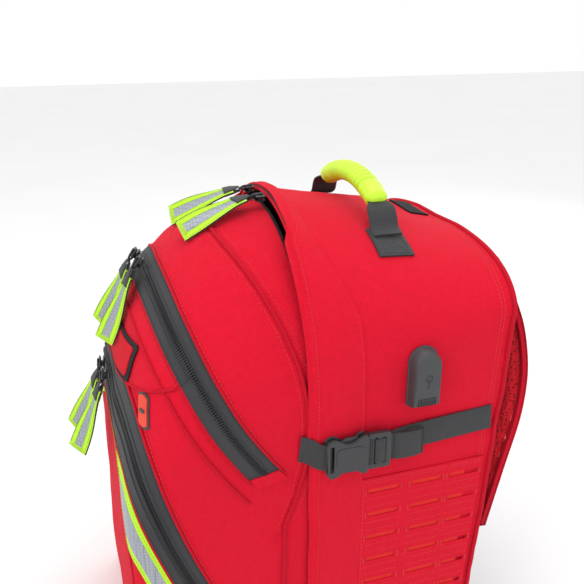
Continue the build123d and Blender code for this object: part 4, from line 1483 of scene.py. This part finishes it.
# ================================================================ padded back and harness
def back_place(x, out, height):
    """Point near the leaning back: distance outwards and height along the lean."""
    lean = math.hypot(1.0, BACK_LEAN)
    x, out, height = np.broadcast_arrays(np.asarray(x, float), out, height)
    y = BACK_BASE_Y + (height * BACK_LEAN + out) / lean
    z = (height - out * BACK_LEAN) / lean
    return np.stack([x, y, z], -1)


def cushion_start(x_range, h_range, depth, corner):
    """Closed rounded slab on the back, from which a pad is inflated."""
    ring = np.array(rounded_outline(*x_range, *h_range, corner, 6))
    dense = []
    for a, b in zip(ring, np.roll(ring, -1, 0)):
        count = max(int(np.linalg.norm(b - a) / 9), 1)
        dense += [a + (b - a) * t / count for t in range(count)]
    ring = np.array(dense)
    middle = ring.mean(0)
    rows = []
    for size, out in ((0.02, 0.6), (0.6, 0.6), (0.97, 0.6), (1.0, 1.6), (1.0, depth * 0.55),
                      (0.96, depth * 0.85), (0.86, depth), (0.5, depth), (0.02, depth)):
        flat = middle + (ring - middle) * size
        rows.append(back_place(flat[:, 0], out, flat[:, 1]))
    return lofted(np.stack(rows))


def inflate(piece, cap, voxel=0.005, pressure=4.0):
    """Fills a pad: remesh, cloth under pressure and a limit on each point's travel; make_pad then subdivides
    once.
    """
    remesh = piece.modifiers.new("remesh", "REMESH")
    remesh.mode = "VOXEL"
    remesh.voxel_size = voxel
    settle(piece)
    rest = np.zeros(len(piece.data.vertices) * 3)
    piece.data.vertices.foreach_get("co", rest)
    cloth = piece.modifiers.new("cloth", "CLOTH")
    cloth.settings.use_pressure = True
    cloth.settings.uniform_pressure_force = pressure
    cloth.settings.effector_weights.gravity = 0
    cloth.settings.quality = 5
    for number in range(1, 15):
        bpy.context.scene.frame_set(number)
    settle(piece)
    bpy.context.scene.frame_set(1)
    now = np.zeros_like(rest)
    piece.data.vertices.foreach_get("co", now)
    move = (now - rest).reshape(-1, 3)
    length = np.linalg.norm(move, axis=1, keepdims=True)
    move *= np.minimum(1.0, cap * MM / (length + 1e-9))
    return rest.reshape(-1, 3) / MM + move / MM


def settle(piece):
    """Replaces a mesh by the result of its modifiers."""
    graph = bpy.context.evaluated_depsgraph_get()
    mesh = bpy.data.meshes.new_from_object(piece.evaluated_get(graph))
    piece.modifiers.clear()
    piece.data = mesh


def make_pad(name, patch, cap, shape, material, replaced):
    """Padded piece from a slab: inflated, then drawn in at its channels by a shape function."""
    piece = make_piece(name, patch, material, "")
    points = shape(inflate(piece, cap))
    piece.data.vertices.foreach_set("co", (points * MM).ravel())
    subdivision = piece.modifiers.new("smooth", "SUBSURF")
    subdivision.levels = subdivision.render_levels = 1
    settle(piece)
    piece.data.shade_smooth()
    piece.data.materials.clear()
    piece.data.materials.append(material)
    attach(piece, "rear_shell")
    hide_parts(*replaced)
    return piece


def out_of(points):
    """(distance outwards from the back, height along it) of points."""
    lean = math.hypot(1.0, BACK_LEAN)
    out = (points[:, 1] - BACK_BASE_Y - points[:, 2] * BACK_LEAN) / lean
    height = (points[:, 2] + (points[:, 1] - BACK_BASE_Y) * BACK_LEAN) / lean
    return out, height


def back_limited(lowest, highest, channels, axis=2, depth=4.5, width=5.0):
    """Shape function: keeps a pad between two distances from the back and sews channels across it."""
    def shape(points):
        out, height = out_of(points)
        wanted = np.clip(out, lowest, highest)
        along = height if axis == 2 else points[:, 0]
        for channel in channels:
            pull = np.exp(-((along - channel) / width) ** 2)
            wanted = np.where(wanted > 5, wanted - depth * pull * np.clip((wanted - 5) / 6, 0, 1), wanted)
        push = (wanted - out)[:, None]
        points = points + push * np.array([0.0, 1.0, -BACK_LEAN]) / math.hypot(1.0, BACK_LEAN)
        return points
    return shape


def make_pad_binding(name, ring, sign, out, radius):
    """Round binding along the edge of a back pad."""
    ring = np.array(ring + ring[:1])
    points = back_place(sign * ring[:, 0], out, ring[:, 1])
    edge = swept(points, np.broadcast_to([0.0, 1, -BACK_LEAN], points.shape), round_profile(radius, 8))
    make_piece(name, edge, STRAP, "rear_shell")


def make_pads():
    """Two upright back pads and a lumbar pad, with sewn channels."""
    upright = cushion_start((16, 92), (154, 362), 11.0, 16)
    for side, sign in SIDES:
        patch = upright if sign > 0 else mirror_patch(upright)
        make_pad(f"back_pad_{side}_mesh", patch, 6, back_limited(0.3, 14.5, (206, 258, 310)), MESH,
                 [f"back_pad_{side}"])
        ring = rounded_outline(14.5, 93.5, 152.5, 363.5, 17, 6)
        make_pad_binding(f"back_pad_{side}_binding", ring, sign, 1.6, 1.7)
    patch = cushion_start((-106, 106), (42, 127), 13.0, 22)
    make_pad("lumbar_pad_mesh", patch, 7, back_limited(0.3, 17.5, (-54, 0, 54), axis=0), MESH, ["lumbar_pad"])
    make_pad_binding("lumbar_pad_binding", rounded_outline(-108, 108, 40, 129, 23, 6), 1, 1.7, 1.8)


# Right shoulder strap: X, distance from the back, height along the back and width.
STRAP_STATIONS = np.array([
    (78, 10, 432, 58), (84, 22, 408, 60), (98, 31, 375, 62), (114, 32, 335, 62),
    (122, 27, 295, 60), (124, 19, 250, 56), (125, 14, 210, 52), (126, 12, 172, 42),
], float)


def strap_line(count):
    """Smooth centre line and width of the right shoulder strap."""
    places = np.linspace(0, len(STRAP_STATIONS) - 1, count)
    line = smoothed(at_places(STRAP_STATIONS, places), 14)
    return back_place(line[:, 0], line[:, 1], line[:, 2]), line[:, 3]


def make_shoulder_straps():
    """Padded red straps with bound edges, a webbing down the middle and a cuff at the top."""
    path, width = strap_line(60)
    ups = np.cross(np.gradient(path, axis=0), [1.0, 0, 0])
    ups *= np.where(ups[:, 1:2] < 0, -1, 1)
    turn = np.linspace(0, 2 * math.pi, 32, endpoint=False)
    profile = [(0.5 * math.copysign(abs(math.cos(t)) ** 0.55, math.cos(t)),
                0.085 * math.copysign(abs(math.sin(t)) ** 0.7, math.sin(t))) for t in turn]
    ends = np.ones(60)
    ends[0], ends[-1], ends[-2] = 0.96, 0.86, 0.95
    start = swept(path, ups, profile, width * ends * 0.95)
    for side, sign in SIDES:
        patch = start if sign > 0 else mirror_patch(start)
        make_pad(f"shoulder_strap_{side}_padding", patch, 4, lambda points: points, RED_MESH,
                 [f"shoulder_strap_{side}"])
        _, sides, out = frames(path, ups)
        for edge, tag in ((-1, "inner"), (1, "outer")):
            line = path + sides * (edge * width * 0.49)[:, None]
            rim = swept(line * [sign, 1, 1], out * [sign, 1, 1], flat_profile(3.2, 7.0))
            make_piece(f"shoulder_strap_{side}_binding_{tag}", rim, RED_BINDING, "rear_shell")
        top = path + out * 6.6
        flip = [sign, 1, 1]
        daisy = swept((top * flip)[6:-2], (out * flip)[6:-2], flat_profile(WEBBING, 1.4))
        make_piece(f"shoulder_strap_{side}_webbing", daisy, STRAP, "rear_shell")
        fuller = [(x * 1.06, y * 1.5) for x, y in profile]
        cuff = swept((path * flip)[:5], (out * flip)[:5], fuller, width[:5])
        make_piece(f"shoulder_strap_{side}_cuff", cuff, RED, "rear_shell")


def make_lower_harness():
    """Webbing from each shoulder strap down to its anchor, with a ladder lock."""
    share = np.linspace(0, 1, 30)
    sag = 3.0 * np.sin(share * math.pi) ** 2
    points = back_place(127 + 7 * share, 9 - 6.8 * share + 0.4 * sag, 140 - 100 * share)
    tape = swept(points, np.broadcast_to([0.0, 1, 0], points.shape), flat_profile(WEBBING, 1.6))
    ends = back_place(134, 0.6, 52), back_place(134, 0.9, 30)
    patch = swept(np.linspace(*ends, 6), np.tile([0.0, 1, 0], (6, 1)), flat_profile(36.0, 2.0))
    make_pair("harness_webbing_strap", tape, STRAP, "rear_shell", ["harness_webbing_{side}"])
    make_pair("harness_anchor", patch, STRAP, "rear_shell")
    holes = [rounded_outline(z, z + 5, -13, 13, 1.5) for z in (147, 158)]
    verts, faces = outline_solid(rounded_outline(142, 168, -17, 17, 4.0), 4.6, 1.0, holes)
    verts[:, :3] = back_place(127 + verts[:, 2], 9.6 + verts[:, 0], verts[:, 1])
    make_pair("ladder_lock_moulded", (verts, faces), PLASTIC, "rear_shell",
              ["ladder_lock_{side}"])


# ================================================================ stage
def make_floor():
    bpy.ops.mesh.primitive_plane_add(size=14, location=(0, 0, -0.0006))
    floor = bpy.context.object
    floor.name = "floor"
    material, tree, shader = nodes_of("pale_floor")
    place = add(tree, "ShaderNodeTexCoord").outputs["Object"]
    shade = mix(tree, noise(tree, place, 3.0), (0.86, 0.86, 0.86), (0.9, 0.9, 0.9))
    finish_shader(tree, shader, shade, 0.75, place)
    floor.data.materials.append(material)


def make_lights():
    world = bpy.data.worlds.new("studio")
    bpy.context.scene.world = world
    world.use_nodes = True
    background = world.node_tree.nodes["Background"]
    background.inputs["Color"].default_value = (1, 1, 1, 1)
    background.inputs["Strength"].default_value = 1.0
    lamps = (("key", (0.9, -1.5, 1.7), 1.1, 9.0), ("fill", (1.8, 0.5, 0.9), 1.5, 3.0),
             ("top", (-0.2, 0.1, 1.9), 1.4, 8.0), ("back", (-0.9, 1.5, 1.1), 1.5, 4.0))
    for name, place, size, power in lamps:
        light = bpy.data.lights.new(name, "AREA")
        light.size = size
        light.energy = power
        lamp = bpy.data.objects.new(name, light)
        lamp.location = place
        aim = Vector((0, 0, 0.3)) - lamp.location
        lamp.rotation_euler = aim.to_track_quat("-Z", "Y").to_euler()
        bpy.context.scene.collection.objects.link(lamp)


def make_camera():
    """Close three-quarter view from the right and a little above."""
    azimuth, elevation = math.radians(71.73), math.radians(20.87)
    back = Vector((math.sin(azimuth) * math.cos(elevation), -math.cos(azimuth) * math.cos(elevation),
                   math.sin(elevation)))
    data = bpy.data.cameras.new("camera")
    data.lens = 45.03
    data.sensor_width = 36.0
    data.clip_start = 0.01
    camera = bpy.data.objects.new("camera", data)
    camera.location = Vector((0.0, -0.0171, 0.38637)) + back * 0.74303
    camera.rotation_mode = "QUATERNION"
    camera.rotation_quaternion = (-back).to_track_quat("-Z", "Y")
    bpy.context.scene.collection.objects.link(camera)
    bpy.context.scene.camera = camera


bpy.context.scene.view_settings.view_transform = "Standard"
make_camera()
make_lights()
make_floor()
make_rear_shell()
make_storm_flap()
make_main_zip()
make_base()
make_load_panels()
make_lid_shell()
make_zip("upper", UPPER_ZIP, UPPER_ZIP_LOW, UPPER_CUT[1] + 4, "upper_pocket")
make_zip("lower", LOWER_ZIP, LOWER_ZIP_LOW, LOWER_ZIP_LOW - 50, "lower_pocket")
make_lid_piping()
make_pocket_piping()
make_partition()
make_band()
make_name_panel()
make_badge()
make_handle()
make_port_patch()
make_pulls()
make_side_straps()
make_charge_port()
make_pads()
make_shoulder_straps()
make_lower_harness()
